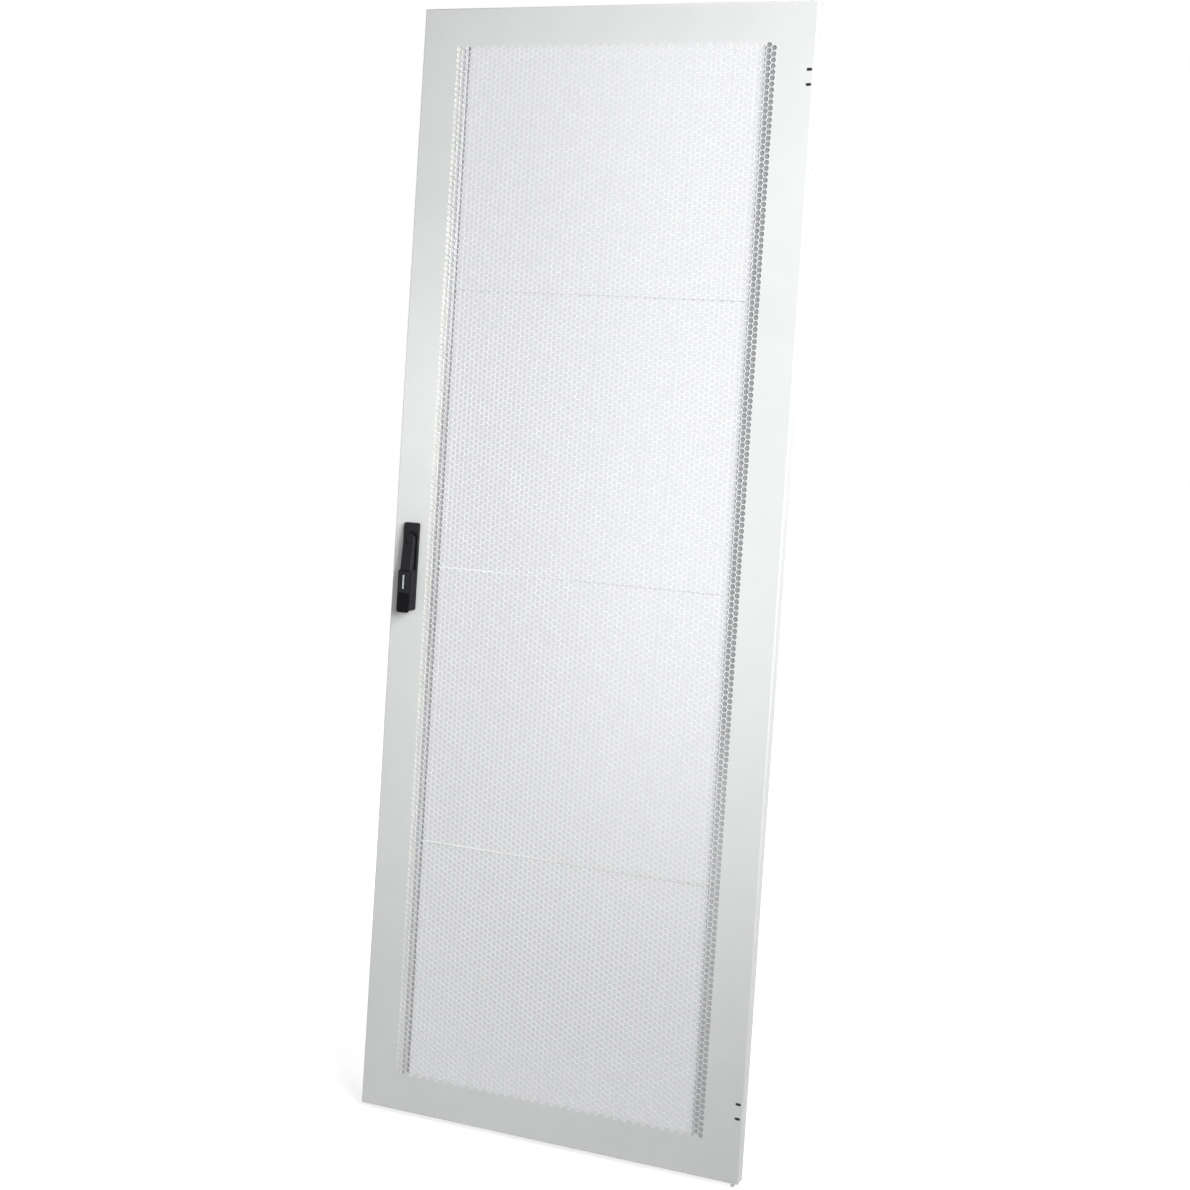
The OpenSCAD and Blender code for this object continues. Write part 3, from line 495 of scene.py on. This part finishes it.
def eased(node: str, body: str, finish: Finish, width: float, segments: int = 3,
          angle: float = 38.0) -> bpy.types.Object:
    """A piece with a node's form and rounded edges, which replaces that node.

    Args:
        node: The node's name.
        body: The body that carries it.
        finish: The piece's finish.
        width: The width of the rounding, in metres.
        segments: Steps in the rounding.
        angle: The least corner that is rounded, in degrees.

    Returns:
        The new piece.
    """
    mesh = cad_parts[node].data.copy()
    form = bmesh.new()
    form.from_mesh(mesh)
    bmesh.ops.remove_doubles(form, verts=form.verts, dist=WELD)
    bmesh.ops.dissolve_degenerate(form, edges=form.edges, dist=WELD)
    bmesh.ops.dissolve_limit(form, angle_limit=math.radians(FLAT_DEGREES), verts=form.verts,
                             edges=form.edges)
    for layer in list(form.loops.layers.uv):
        form.loops.layers.uv.remove(layer)
    form.to_mesh(mesh)
    form.free()
    piece = bpy.data.objects.new(node + "_eased", mesh)
    bpy.context.scene.collection.objects.link(piece)
    rounding = piece.modifiers.new("rounding", "BEVEL")
    rounding.width = width
    rounding.segments = segments
    rounding.limit_method = "ANGLE"
    rounding.angle_limit = math.radians(angle)
    rounding.harden_normals = True
    rounding.use_clamp_overlap = True
    for face in mesh.polygons:
        face.use_smooth = True
    apply_modifiers(piece)
    return settle(piece, body, finish, node)


# ------------------------------------------------------------------ door shell


@dataclass
class DoorSizes:
    """The door's sizes, in metres, in a frame whose x runs from the lock edge to
    the hinge edge, y from the front face back and z up from the lower edge."""

    width: float = 797 * MM
    height: float = 2200 * MM
    depth: float = 30 * MM
    sheet: float = 1.5 * MM
    fold: float = 3 * MM
    lip: float = 12 * MM
    hinge_x: float = 14 * MM
    hinge_y: float = 15 * MM
    handle_x: float = 40 * MM
    hub_rise: float = 52 * MM

    def to_row(self, points: np.ndarray) -> np.ndarray:
        """Moves points from the door's frame to the row's.

        Args:
            points: Points in the door's frame.

        Returns:
            The same points in the row's frame.
        """
        return points + np.array([self.hinge_x - self.width, -self.hinge_y, 0.0])


@dataclass
class Place:
    """Where a point on one flat stretch of the shell is, in the door's frame."""

    side: str
    size: DoorSizes

    def at(self, a: float, b: float, depth: float) -> Point:
        """A point of the stretch.

        Args:
            a: Along x, or along z on an upright side.
            b: Along z on the front, or from the front face back on a side.
            depth: How far under the outer skin the point is.

        Returns:
            x, y and z.
        """
        s = self.size
        return {
            "front": (a, depth, b),
            "bottom": (a, b, depth),
            "top": (a, b, s.height - depth),
            "lock": (depth, b, a),
            "hinge": (s.width - depth, b, a),
        }[self.side]


@dataclass
class DoorShell:
    """The folded and perforated sheet, at the real pitch of its holes."""

    size: DoorSizes = field(default_factory=DoorSizes)
    pitch: float = 11 * MM
    hole: float = 10 * MM
    columns: int = 68
    rows: int = 186
    parts: int = 4
    fold_steps: int = 6
    slot_length: float = 11 * MM
    slot_height: float = 5.5 * MM
    slot_inset: float = 10 * MM
    slot_near: float = 125 * MM
    slot_gap: float = 27.5 * MM
    pin_hole: float = 11 * MM
    screw_hole: float = 5.2 * MM
    screw_z: float = 66 * MM
    stem_hole: float = 4.2 * MM
    bumper_z: float = 300 * MM
    cutout: tuple[float, float] = (24 * MM, 62 * MM)
    cutout_radius: float = 3 * MM
    base_screw_hole: float = 9.4 * MM
    base_screw_drop: float = 75.5 * MM
    sharp_degrees: float = 40

    def __post_init__(self) -> None:
        """Works out the lattice of hole centres."""
        self.unit = self.pitch / math.sqrt(3) / 2
        self.left = (self.size.width - 3 * self.unit * (self.columns - 1)) / 2
        self.low = (self.size.height - self.pitch * (self.rows - 0.5)) / 2

    def lattice(self, i: np.ndarray, j: np.ndarray) -> np.ndarray:
        """Points of the lattice on which cells meet.

        Args:
            i: Steps of a quarter of a cell's width from the first column.
            j: Steps of half a pitch from the lowest row.

        Returns:
            x and z of each point, in the door's frame.
        """
        return np.stack([self.left + i * self.unit, self.low + j * self.pitch / 2], axis=-1)

    def cells(self, first: int, last: int) -> tuple[np.ndarray, np.ndarray]:
        """Centres and corners of the cells in some columns, as lattice steps.

        Args:
            first: The first column.
            last: One past the last column.

        Returns:
            The centres (n, 2) and the corners (n, 6, 2).
        """
        column, row = np.meshgrid(np.arange(first, last), np.arange(self.rows), indexing="ij")
        centre = np.stack([3 * column, 2 * row + (column + 1) % 2], axis=-1).reshape(-1, 2)
        corner = np.array([(2, 0), (1, 1), (-1, 1), (-2, 0), (-1, -1), (1, -1)])
        return centre, centre[:, None, :] + corner[None, :, :]

    def vent_part(self, number: int) -> bpy.types.Object:
        """One upright share of the vent field.

        Args:
            number: Which share, from the lock side.

        Returns:
            The piece.
        """
        step = self.columns // self.parts
        centre, corner = self.cells(number * step, (number + 1) * step)
        count = len(centre)
        shared, index = np.unique(corner.reshape(-1, 2), axis=0, return_inverse=True)
        index = index.reshape(count, 6)
        outer = self.lattice(shared[:, 0], shared[:, 1])
        middle = self.lattice(centre[:, 0], centre[:, 1])[:, None, :]
        rim = self.lattice(corner[..., 0], corner[..., 1])
        inner = (middle + (rim - middle) * (self.hole / self.pitch)).reshape(-1, 2)
        flat = np.concatenate([outer, inner])
        total = len(flat)
        points = np.zeros((2 * total, 3))
        for layer, y in enumerate((0.0, self.size.sheet)):
            points[layer * total:(layer + 1) * total, 0] = flat[:, 0]
            points[layer * total:(layer + 1) * total, 1] = y
            points[layer * total:(layer + 1) * total, 2] = flat[:, 1]
        hole = len(outer) + np.arange(count * 6).reshape(count, 6)
        after = np.roll(index, -1, axis=1)
        hole_after = np.roll(hole, -1, axis=1)
        front = np.stack([index, after, hole_after, hole], axis=-1).reshape(-1, 4)
        back = front[:, ::-1] + total
        wall = np.stack([hole, hole_after, hole_after + total, hole + total], axis=-1)
        side = np.stack([index, after], axis=-1).reshape(-1, 2)
        key = np.sort(side, axis=1)
        _, first_seen, times = np.unique(key, axis=0, return_index=True, return_counts=True)
        rim_side = side[first_seen[times == 1]]
        edge = np.stack([rim_side[:, 1], rim_side[:, 0],
                         rim_side[:, 0] + total, rim_side[:, 1] + total], axis=-1)
        faces = np.concatenate([front, back, wall.reshape(-1, 4), edge])
        mesh = bpy.data.meshes.new(f"vent_field_{number + 1}")
        mesh.vertices.add(2 * total)
        mesh.vertices.foreach_set("co", self.size.to_row(points).ravel())
        mesh.loops.add(4 * len(faces))
        mesh.loops.foreach_set("vertex_index", faces.ravel().astype(np.int32))
        mesh.polygons.add(len(faces))
        mesh.polygons.foreach_set("loop_start", np.arange(0, 4 * len(faces), 4, dtype=np.int32))
        mesh.update(calc_edges=True)
        mesh.validate()
        piece = bpy.data.objects.new(mesh.name, mesh)
        bpy.context.scene.collection.objects.link(piece)
        # The vent field takes the paler coat as painted light on its webs.
        return settle(piece, "door", VENT_COAT_PAINTED_LIGHT, "door_panel")

    def field_rim(self) -> Loop:
        """The zigzag line round the vent field, in the door's frame."""
        _, corner = self.cells(0, self.columns)
        shared, index = np.unique(corner.reshape(-1, 2), axis=0, return_inverse=True)
        index = index.reshape(-1, 6)
        side = np.stack([index, np.roll(index, -1, axis=1)], axis=-1).reshape(-1, 2)
        key = np.sort(side, axis=1)
        _, seen, times = np.unique(key, axis=0, return_index=True, return_counts=True)
        follow = {int(a): int(b) for a, b in side[seen[times == 1]]}
        start = next(iter(follow))
        order = [start]
        while follow[order[-1]] != start:
            order.append(follow[order[-1]])
        return [tuple(p) for p in self.lattice(shared[order, 0], shared[order, 1])]

    @staticmethod
    def round_hole(x: float, z: float, across: float, steps: int = 24) -> Loop:
        """A round hole's outline.

        Args:
            x: The centre's first coordinate.
            z: The centre's second coordinate.
            across: The diameter.
            steps: Points on the outline.

        Returns:
            The outline.
        """
        turn = [2 * math.pi * k / steps for k in range(steps)]
        return [(x + across / 2 * math.cos(a), z + across / 2 * math.sin(a)) for a in turn]

    @staticmethod
    def long_hole(x: float, z: float, length: float, height: float, radius: float,
                  steps: int = 8) -> Loop:
        """The outline of a slot or a rounded rectangle.

        Args:
            x: The centre's first coordinate.
            z: The centre's second coordinate.
            length: The size along x.
            height: The size along z.
            radius: The corners' radius.
            steps: Steps in each corner.

        Returns:
            The outline.
        """
        loop: Loop = []
        for quarter, (sx, sz) in enumerate([(1, 1), (-1, 1), (-1, -1), (1, -1)]):
            for k in range(steps + 1):
                a = math.pi / 2 * (quarter + k / steps)
                point = (x + sx * (length / 2 - radius) + radius * math.cos(a),
                         z + sz * (height / 2 - radius) + radius * math.sin(a))
                if not loop or math.dist(loop[-1], point) > SAME_POINT:
                    loop.append(point)
        if math.dist(loop[0], loop[-1]) < SAME_POINT:
            loop.pop()
        return loop

    def holes_in_front(self) -> list[Loop]:
        """Outlines of the holes in the front sheet's margins."""
        s = self.size
        places = [self.slot_near, self.slot_near + self.slot_gap]
        loops = [
            self.long_hole(s.width - self.slot_inset, z, self.slot_length, self.slot_height,
                           self.slot_height / 2 * NEARLY_ROUND)
            for near in places for z in (near, s.height - near)
        ]
        middle = s.height / 2
        loops.append(self.long_hole(s.handle_x, middle + s.hub_rise, *self.cutout,
                                    self.cutout_radius))
        loops.append(self.round_hole(s.handle_x, middle - self.base_screw_drop,
                                     self.base_screw_hole))
        return loops

    def skin(self, form: bmesh.types.BMesh, outline: Loop, holes: list[Loop],
             place: Place, out: float, back: float) -> None:
        """Adds both faces of a flat stretch of sheet, and its holes' walls.

        Args:
            form: The mesh that grows.
            outline: The stretch's outline.
            holes: Outlines of its holes.
            place: Where a point of the stretch at some depth is.
            out: The depth of its outer face.
            back: The depth of its inner face.
        """
        loops = [outline] + holes
        flat = [Vector(p) for loop in loops for p in loop]
        edges: list[tuple[int, int]] = []
        start = 0
        for loop in loops:
            edges += [(start + k, start + (k + 1) % len(loop)) for k in range(len(loop))]
            start += len(loop)
        found = delaunay_2d_cdt(flat, edges, [], 0, OUTLINE_JOIN)
        spots, triangles = found[0], found[2]
        kept = [t for t in triangles if self.inside(sum((spots[k] for k in t), Vector((0, 0))) / 3,
                                                    loops)]
        for depth in (out, back):
            row = [form.verts.new(place.at(p.x, p.y, depth)) for p in spots]
            for a, b, c in kept:
                form.faces.new([row[a], row[b], row[c]])
        for loop in holes:
            near = [form.verts.new(place.at(*p, out)) for p in loop]
            far = [form.verts.new(place.at(*p, back)) for p in loop]
            for k in range(len(loop)):
                m = (k + 1) % len(loop)
                form.faces.new([near[k], near[m], far[m], far[k]])

    @staticmethod
    def inside(point: Vector, loops: list[Loop]) -> bool:
        """Whether a point is inside the first loop and outside the others.

        Args:
            point: The point.
            loops: The loops.

        Returns:
            True where there is sheet.
        """
        crossings = 0
        for loop in loops:
            ends = np.array(loop)
            ahead = np.roll(ends, -1, axis=0)
            over = (ends[:, 1] > point.y) != (ahead[:, 1] > point.y)
            a, b = ends[over], ahead[over]
            x = a[:, 0] + (point.y - a[:, 1]) / (b[:, 1] - a[:, 1]) * (b[:, 0] - a[:, 0])
            crossings += int((x > point.x).sum())
        return crossings % 2 == 1

    def folded_shell(self) -> bpy.types.Object:
        """The plain margins, the four folds with their side walls, and the lips."""
        s = self.size
        form = bmesh.new()
        w, h, t, r = s.width, s.height, s.sheet, s.fold
        flat = [(r, r), (w - r, r), (w - r, h - r), (r, h - r)]
        rim = self.field_rim()
        self.skin(form, flat, [rim] + self.holes_in_front(), Place("front", s), 0.0, t)
        deep = s.depth - r
        pin_x, pin_y = w - s.hinge_x, s.hinge_y
        pin = [self.round_hole(pin_x, pin_y, self.pin_hole)]
        screws = [self.round_hole(z, s.hinge_y, self.screw_hole)
                  for z in (self.screw_z, h - self.screw_z)]
        along_x = [(t, r), (w - t, r), (w - t, deep), (t, deep)]
        along_z = [(t, r), (h - t, r), (h - t, deep), (t, deep)]
        for side, outline, holes in (("bottom", along_x, pin), ("top", along_x, pin),
                                     ("lock", along_z, []), ("hinge", along_z, screws)):
            self.skin(form, outline, holes, Place(side, s), 0.0, t)
        self.bend_all(form)
        lips = [(r, r), (w - r, r), (w - r, h - r), (r, h - r)]
        mouth = [(s.lip, s.lip), (w - s.lip, s.lip), (w - s.lip, h - s.lip), (s.lip, h - s.lip)]
        stems = [self.round_hole(x, z, self.stem_hole)
                 for x in (s.lip / 2, w - s.lip / 2) for z in (self.bumper_z, h - self.bumper_z)]
        self.skin(form, lips, [mouth] + stems, Place("front", s), s.depth, s.depth - t)
        bmesh.ops.remove_doubles(form, verts=form.verts, dist=SHEET_WELD)
        bmesh.ops.recalc_face_normals(form, faces=form.faces)
        mesh = bpy.data.meshes.new("folded_shell")
        form.to_mesh(mesh)
        form.free()
        co = np.array([v.co for v in mesh.vertices])
        mesh.vertices.foreach_set("co", s.to_row(co).ravel())
        piece = bpy.data.objects.new("folded_shell", mesh)
        bpy.context.scene.collection.objects.link(piece)
        shade_by_angle(piece, self.sharp_degrees)
        smooth = piece.modifiers.new("flat_faces_lead", "WEIGHTED_NORMAL")
        smooth.keep_sharp = True
        apply_modifiers(piece)
        return settle(piece, "door", POWDER_COAT, "door_panel")

    def bend_all(self, form: bmesh.types.BMesh) -> None:
        """Adds the rounded bends between the faces, front and rear, on all sides.

        Args:
            form: The mesh that grows.
        """
        s = self.size
        turn = [math.pi / 2 * k / self.fold_steps for k in range(self.fold_steps + 1)]
        for radius in (s.fold, s.fold - s.sheet):
            arc = [(s.fold - radius * math.cos(a), s.fold - radius * math.sin(a)) for a in turn]
            for rear in (False, True):
                rows = []
                for inset, depth in arc:
                    y = s.depth - depth if rear else depth
                    far_x, far_z = s.width - inset, s.height - inset
                    rows.append([form.verts.new(p) for p in (
                        (inset, y, inset), (far_x, y, inset),
                        (far_x, y, far_z), (inset, y, far_z))])
                for near, far in zip(rows, rows[1:]):
                    for k in range(4):
                        m = (k + 1) % 4
                        form.faces.new([near[k], near[m], far[m], far[k]])

    def build(self) -> None:
        """Builds every piece of the shell."""
        for number in range(self.parts):
            self.vent_part(number)
        self.folded_shell()


# --------------------------------------------------------------- other pieces


@dataclass
class Stiffeners:
    """The upright channels and cross strips behind the vent field."""

    rounding: float = 0.3 * MM

    def build(self) -> None:
        """Finishes the channels and strips."""
        # Both channels carry painted light and shade on their forward faces.
        LOCK_CHANNEL_PAINTED_SHADE.dress("lock_side_channel")
        HINGE_CHANNEL_PAINTED_SHADE.dress("hinge_side_channel")
        for height in ("upper", "middle", "lower"):
            eased(f"{height}_cross_strip", "door", POWDER_COAT, self.rounding)


@dataclass
class Hinges:
    """The brackets, pins, clips, springs and screws of both hinges."""

    rounding: float = 0.35 * MM
    pin_edge: float = 0.2 * MM
    clip_edge: float = 0.1 * MM
    wire_edge: float = 0.05 * MM
    wire_degrees: float = 170
    screw_edge: float = 0.25 * MM
    seat_rise: float = 76 * MM
    spring_length: float = 40.8 * MM
    pin_travel: float = 12 * MM

    def build(self) -> None:
        """Finishes both hinges, and gives each spring a mesh of its own."""
        top = DoorSizes().height
        for end, body, seat in (("upper", "pin_up", top - self.seat_rise),
                                ("lower", "pin_down", self.seat_rise)):
            # The brackets' black zinc is partly painted shade in the hinge slots.
            eased(f"{end}_hinge_bracket", "door", BLACK_ZINC_PAINTED_SHADE, self.rounding)
            eased(f"{end}_hinge_pin", body, DRAWN_ZINC, self.pin_edge)
            eased(f"{end}_pin_clip", body, ZINC_PLATE, self.clip_edge)
            spring = eased(f"{end}_pin_spring", "door", SPRING_WIRE, self.wire_edge,
                           segments=1, angle=self.wire_degrees)
            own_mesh(spring)
        eased("hinge_screws", "door", ZINC_PLATE, self.screw_edge)


@dataclass
class SwingHandle:
    """The handle's base, hub, lever, lock and sliding cover."""

    soft_edge: float = 0.8 * MM
    fine_edge: float = 0.4 * MM
    brass_edge: float = 0.25 * MM
    turned_edge: float = 0.2 * MM
    thin_edge: float = 0.15 * MM
    bar_edge: float = 0.1 * MM

    def build(self) -> None:
        """Builds and finishes the handle's pieces."""
        eased("handle_base", "door", GLASS_NYLON, self.soft_edge)
        eased("base_gasket", "door", RUBBER, self.thin_edge)
        # The hub and the lock cover take the darker nylon as painted shade.
        eased("handle_hub", "hub", NYLON_PAINTED_SHADE, self.fine_edge)
        eased("hub_cap", "lever_arm", GLASS_NYLON, self.fine_edge)
        eased("lever", "lever_arm", GLASS_NYLON, self.soft_edge)
        eased("lever_pivot", "lever_arm", DRAWN_ZINC, self.turned_edge)
        eased("lock_cover", "cover", NYLON_PAINTED_SHADE, self.fine_edge)
        eased("cover_inlay", "cover", INLAY_PAD, self.thin_edge)
        eased("inlay_bar", "cover", LIGHT_BAR, self.bar_edge)
        eased("lock_cylinder", "lever_arm", BRASS, self.brass_edge)
        eased("cylinder_plug", "plug", BRASS, self.thin_edge)
        eased("lock_cam", "plug", ZINC_PLATE, self.thin_edge)
        eased("base_screw", "door", ZINC_PLATE, self.turned_edge)
        eased("base_washer", "door", ZINC_PLATE, self.thin_edge)


@dataclass
class RodLock:
    """The gearbox behind the handle, the two rods, their guides and rollers."""

    rounding: float = 0.3 * MM
    turned_edge: float = 0.2 * MM
    gear_edge: float = 0.12 * MM
    washer_edge: float = 0.1 * MM
    roller_edge: float = 0.5 * MM

    def build(self) -> None:
        """Finishes the rod lock."""
        eased("latch_plate", "door", ZINC_PLATE, self.rounding)
        eased("latch_housing", "door", ZINC_PLATE, self.rounding)
        eased("latch_screws", "door", ZINC_PLATE, self.turned_edge)
        eased("drive_pinion", "hub", ZINC_PLATE, self.gear_edge)
        eased("spindle_washer", "hub", ZINC_PLATE, self.washer_edge)
        eased("spindle_screw", "hub", ZINC_PLATE, self.turned_edge)
        for end, way in (("upper", "up"), ("lower", "down")):
            eased(f"{end}_rod", f"rod_{way}", DRAWN_ZINC, self.rounding)
            eased(f"{end}_roller_stud", f"rod_{way}", ZINC_PLATE, self.turned_edge)
            eased(f"{end}_roller", f"roller_{way}", WHITE_NYLON, self.roller_edge)
            eased(f"{end}_rod_guides", "door", ZINC_PLATE, self.rounding)
            eased(f"{end}_rod_liners", "door", WHITE_NYLON, self.turned_edge)


@dataclass
class Fittings:
    """The earthing point and the rubber bumpers."""

    stud_edge: float = 0.2 * MM
    washer_edge: float = 0.15 * MM
    nut_edge: float = 0.3 * MM
    bumper_edge: float = 0.5 * MM

    def build(self) -> None:
        """Finishes the small fittings."""
        eased("earth_stud", "door", BRASS, self.stud_edge)
        eased("earth_washer", "door", ZINC_PLATE, self.washer_edge)
        eased("earth_nut", "door", ZINC_PLATE, self.nut_edge)
        eased("rubber_bumpers", "door", RUBBER, self.bumper_edge)


# --------------------------------------------------------------------- studio


@dataclass
class Studio:
    """Camera, floor, backdrop card, world light and lamps.

    The card's tones paint the shaded backdrop seen through the holes: its foot, the
    left and right of its head, and a painted shadow beside the hinge-side channel.
    Its spans are in the row's metres.
    """

    eye: Point = (0.8747, -3.2336, 1.4234)
    ahead: Point = (-0.358, 0.933, -0.045)
    rightward: Point = (0.931, 0.360, 0.064)
    lens: float = 54.51
    sensor: float = 36
    shift_y: float = -0.0837
    sight: float = 60
    floor_z: float = -0.0105
    floor_reach: float = 30.0
    floor_grey: float = 0.8
    shadow_grey: float = 0.56
    shadow_middle: Point = (-0.9, 0.3, 0.0)
    shadow_fade: Span = (0.6, 1.6)
    ambient: float = 0.29
    card_gap: float = 0.5 * MM
    # Painted shade on the card: a darker foot and lock side, and a painted shadow beside the
    # hinge-side channel.
    card_foot: Colour = (204, 204, 208)
    card_head: tuple[Colour, Colour] = ((217, 217, 222), (240, 240, 245))
    card_painted_shadow: Colour = (178, 178, 181)
    painted_shadow_share: float = 0.35
    card_across: Span = (-0.7, -0.1)
    card_up: Span = (0.1, 1.3)
    painted_shadow_start: Span = (-0.106, -0.094)

    def camera(self) -> None:
        """Sets the camera at its viewpoint, with its slight roll."""
        data = bpy.data.cameras.new("camera")
        data.lens = self.lens
        data.sensor_width = self.sensor
        data.shift_y = self.shift_y
        data.clip_end = self.sight
        camera = bpy.data.objects.new("camera", data)
        bpy.context.scene.collection.objects.link(camera)
        right = Vector(self.rightward)
        back = -Vector(self.ahead).normalized()
        right = (right - back * right.dot(back)).normalized()
        up = back.cross(right)
        turn = Matrix((right, up, back)).transposed()
        camera.matrix_world = Matrix.Translation(self.eye) @ turn.to_4x4()
        bpy.context.scene.camera = camera

    @staticmethod
    def seen(board: Board) -> Wire:
        """1 where the camera, a reflection or glass looks at the surface."""
        path = board.node("ShaderNodeLightPath")
        total = path["Is Camera Ray"] + path["Is Glossy Ray"] + path["Is Transmission Ray"]
        return total.band(0.0, 0.5)

    def floor(self) -> None:
        """A wide pale floor that keeps the door's shadow. Where it is looked at, it
        glows to white, and a little less around the shadow."""
        reach = self.floor_reach
        grey, dim = ((tone, tone, tone, 1) for tone in (self.floor_grey, self.shadow_grey))
        corners = [(-reach, -reach), (reach, -reach), (reach, reach), (-reach, reach)]
        floor = piece_from("floor", np.array([(x, y, self.floor_z) for x, y in corners]),
                           [(0, 1, 2, 3)])
        material = bpy.data.materials.new("pale_floor")
        board = Board(material)
        matt = board.node("ShaderNodeBsdfDiffuse", {}, {"Color": grey})
        away = board.node("ShaderNodeVectorMath", {"operation": "DISTANCE"}, {
            0: board.place(), 1: self.shadow_middle})["Value"]
        pale = board.blend(away.band(*self.shadow_fade), dim, grey)
        glow = board.node("ShaderNodeEmission", {}, {"Color": pale, "Strength": 1.0})
        both = board.node("ShaderNodeAddShader", {}, {0: matt["BSDF"], 1: glow["Emission"]})
        shown = board.node("ShaderNodeMixShader", {}, {
            0: self.seen(board), 1: matt["BSDF"], 2: both["Shader"]})
        board.node("ShaderNodeOutputMaterial", {}, {"Surface": shown["Shader"]})
        floor.data.materials.append(material)

    def card(self) -> None:
        """A glowing card of the stage, close behind the vent field, whose lilac greys
        paint the shaded backdrop seen through the holes: darker at the foot and towards
        the lock side, with a painted shadow beside the hinge-side channel. Only the
        camera sees it, so it lights nothing, and it is clear from behind, where it
        would hide the door's back."""
        size = DoorSizes()
        edge = size.lip
        flat = [(edge, edge), (size.width - edge, edge),
                (size.width - edge, size.height - edge), (edge, size.height - edge)]
        y = size.depth + self.card_gap
        points = size.to_row(np.array([(x, y, z) for x, z in flat]))
        card = piece_from("backdrop_card", points, [(0, 1, 2, 3)])
        for ray in ("diffuse", "glossy", "transmission", "volume_scatter", "shadow"):
            setattr(card, f"visible_{ray}", False)
        material = bpy.data.materials.new("lilac_card_painted_shade")
        board = Board(material)
        spot = board.node("ShaderNodeSeparateXYZ", {}, {"Vector": board.place()})
        # Painted shade: darker towards the foot and the lock side.
        head = board.blend(spot["X"].band(*self.card_across), *map(light_of, self.card_head))
        open_field = board.blend(spot["Z"].band(*self.card_up), light_of(self.card_foot), head)
        # Painted shadow beside the hinge-side channel.
        strip = spot["X"].band(*self.painted_shadow_start) * self.painted_shadow_share
        tint = board.blend(strip, open_field, light_of(self.card_painted_shadow))
        glow = board.node("ShaderNodeEmission", {}, {"Color": tint, "Strength": 1.0})
        clear = board.node("ShaderNodeBsdfTransparent")
        behind = board.node("ShaderNodeNewGeometry")["Backfacing"]
        shown = board.node("ShaderNodeMixShader", {}, {
            0: behind, 1: glow["Emission"], 2: clear["BSDF"]})
        board.node("ShaderNodeOutputMaterial", {}, {"Surface": shown["Shader"]})
        card.data.materials.append(material)

    def sky(self) -> None:
        """A plain soft world light, white where it is looked at."""
        world = bpy.data.worlds.new("studio")
        bpy.context.scene.world = world
        board = Board(world)
        strength = self.ambient + self.seen(board) * (1 - self.ambient)
        light = board.node("ShaderNodeBackground", {}, {"Color": (1, 1, 1, 1),
                                                        "Strength": strength})
        board.node("ShaderNodeOutputWorld", {}, {"Surface": light["Background"]})

    @staticmethod
    def lamp(name: str, place: Point, target: Point, size: tuple[float, float],
             watts: float, spread: float = 180) -> None:
        """One soft rectangular lamp.

        Args:
            name: The lamp's name.
            place: Where it stands.
            target: The point that it faces.
            size: Its width and height.
            watts: Its power.
            spread: The angle of its beam, in degrees.
        """
        data = bpy.data.lights.new(name, "AREA")
        data.shape = "RECTANGLE"
        data.size, data.size_y = size
        data.energy = watts
        data.spread = math.radians(spread)
        lamp = bpy.data.objects.new(name, data)
        bpy.context.scene.collection.objects.link(lamp)
        aim = Vector(target) - Vector(place)
        lamp.matrix_world = (Matrix.Translation(place)
                             @ aim.to_track_quat("-Z", "Y").to_matrix().to_4x4())

    def lamps(self) -> None:
        """A strong light from the right with three small fills, and two soft lights
        behind."""
        self.lamp("side", place=(1.8, -2.0, 2.2), target=(-0.75, 0.0, 1.4),
                  size=(1.8, 1.4), watts=29, spread=90)
        self.lamp("low", place=(1.0, -2.0, 1.4), target=(-0.4, 0.0, 0.84),
                  size=(0.4, 0.4), watts=0.75, spread=40)
        self.lamp("glare", place=(-1.0, -1.2, 1.42), target=(-0.75, 0.0, 1.42),
                  size=(0.2, 0.2), watts=0.1, spread=40)
        self.lamp("high", place=(1.8, -1.2, 3.0), target=(-0.75, 0.0, 1.4),
                  size=(0.5, 0.5), watts=3.9, spread=60)
        self.lamp("behind_left", place=(-2.6, 3.0, 2.4), target=(-0.4, 0.0, 1.2),
                  size=(1.6, 1.6), watts=34)
        self.lamp("behind_right", place=(2.2, 3.2, 2.4), target=(-0.4, 0.0, 1.2),
                  size=(1.6, 1.6), watts=10)

    def build(self) -> None:
        """Builds the studio."""
        self.camera()
        self.floor()
        self.card()
        self.sky()
        self.lamps()
        bpy.context.scene.view_settings.view_transform = "Standard"


def corners(bounds: Iterable[Iterable[float]]) -> list[list[float]]:
    """Two corners as plain lists.

    Args:
        bounds: The lowest and highest corner.

    Returns:
        The same numbers.
    """
    return [[float(v) for v in corner] for corner in bounds]


def main() -> None:
    """Builds and finishes every piece in order."""
    logging.basicConfig(level=logging.INFO, format="%(name)s: %(message)s")
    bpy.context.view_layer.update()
    Studio().build()
    for assembly in (DoorShell(), Stiffeners(), Hinges(), SwingHandle(), RodLock(), Fittings()):
        assembly.build()
        LOG.info("%s is built", type(assembly).__name__)


if __name__ == "__main__":
    main()
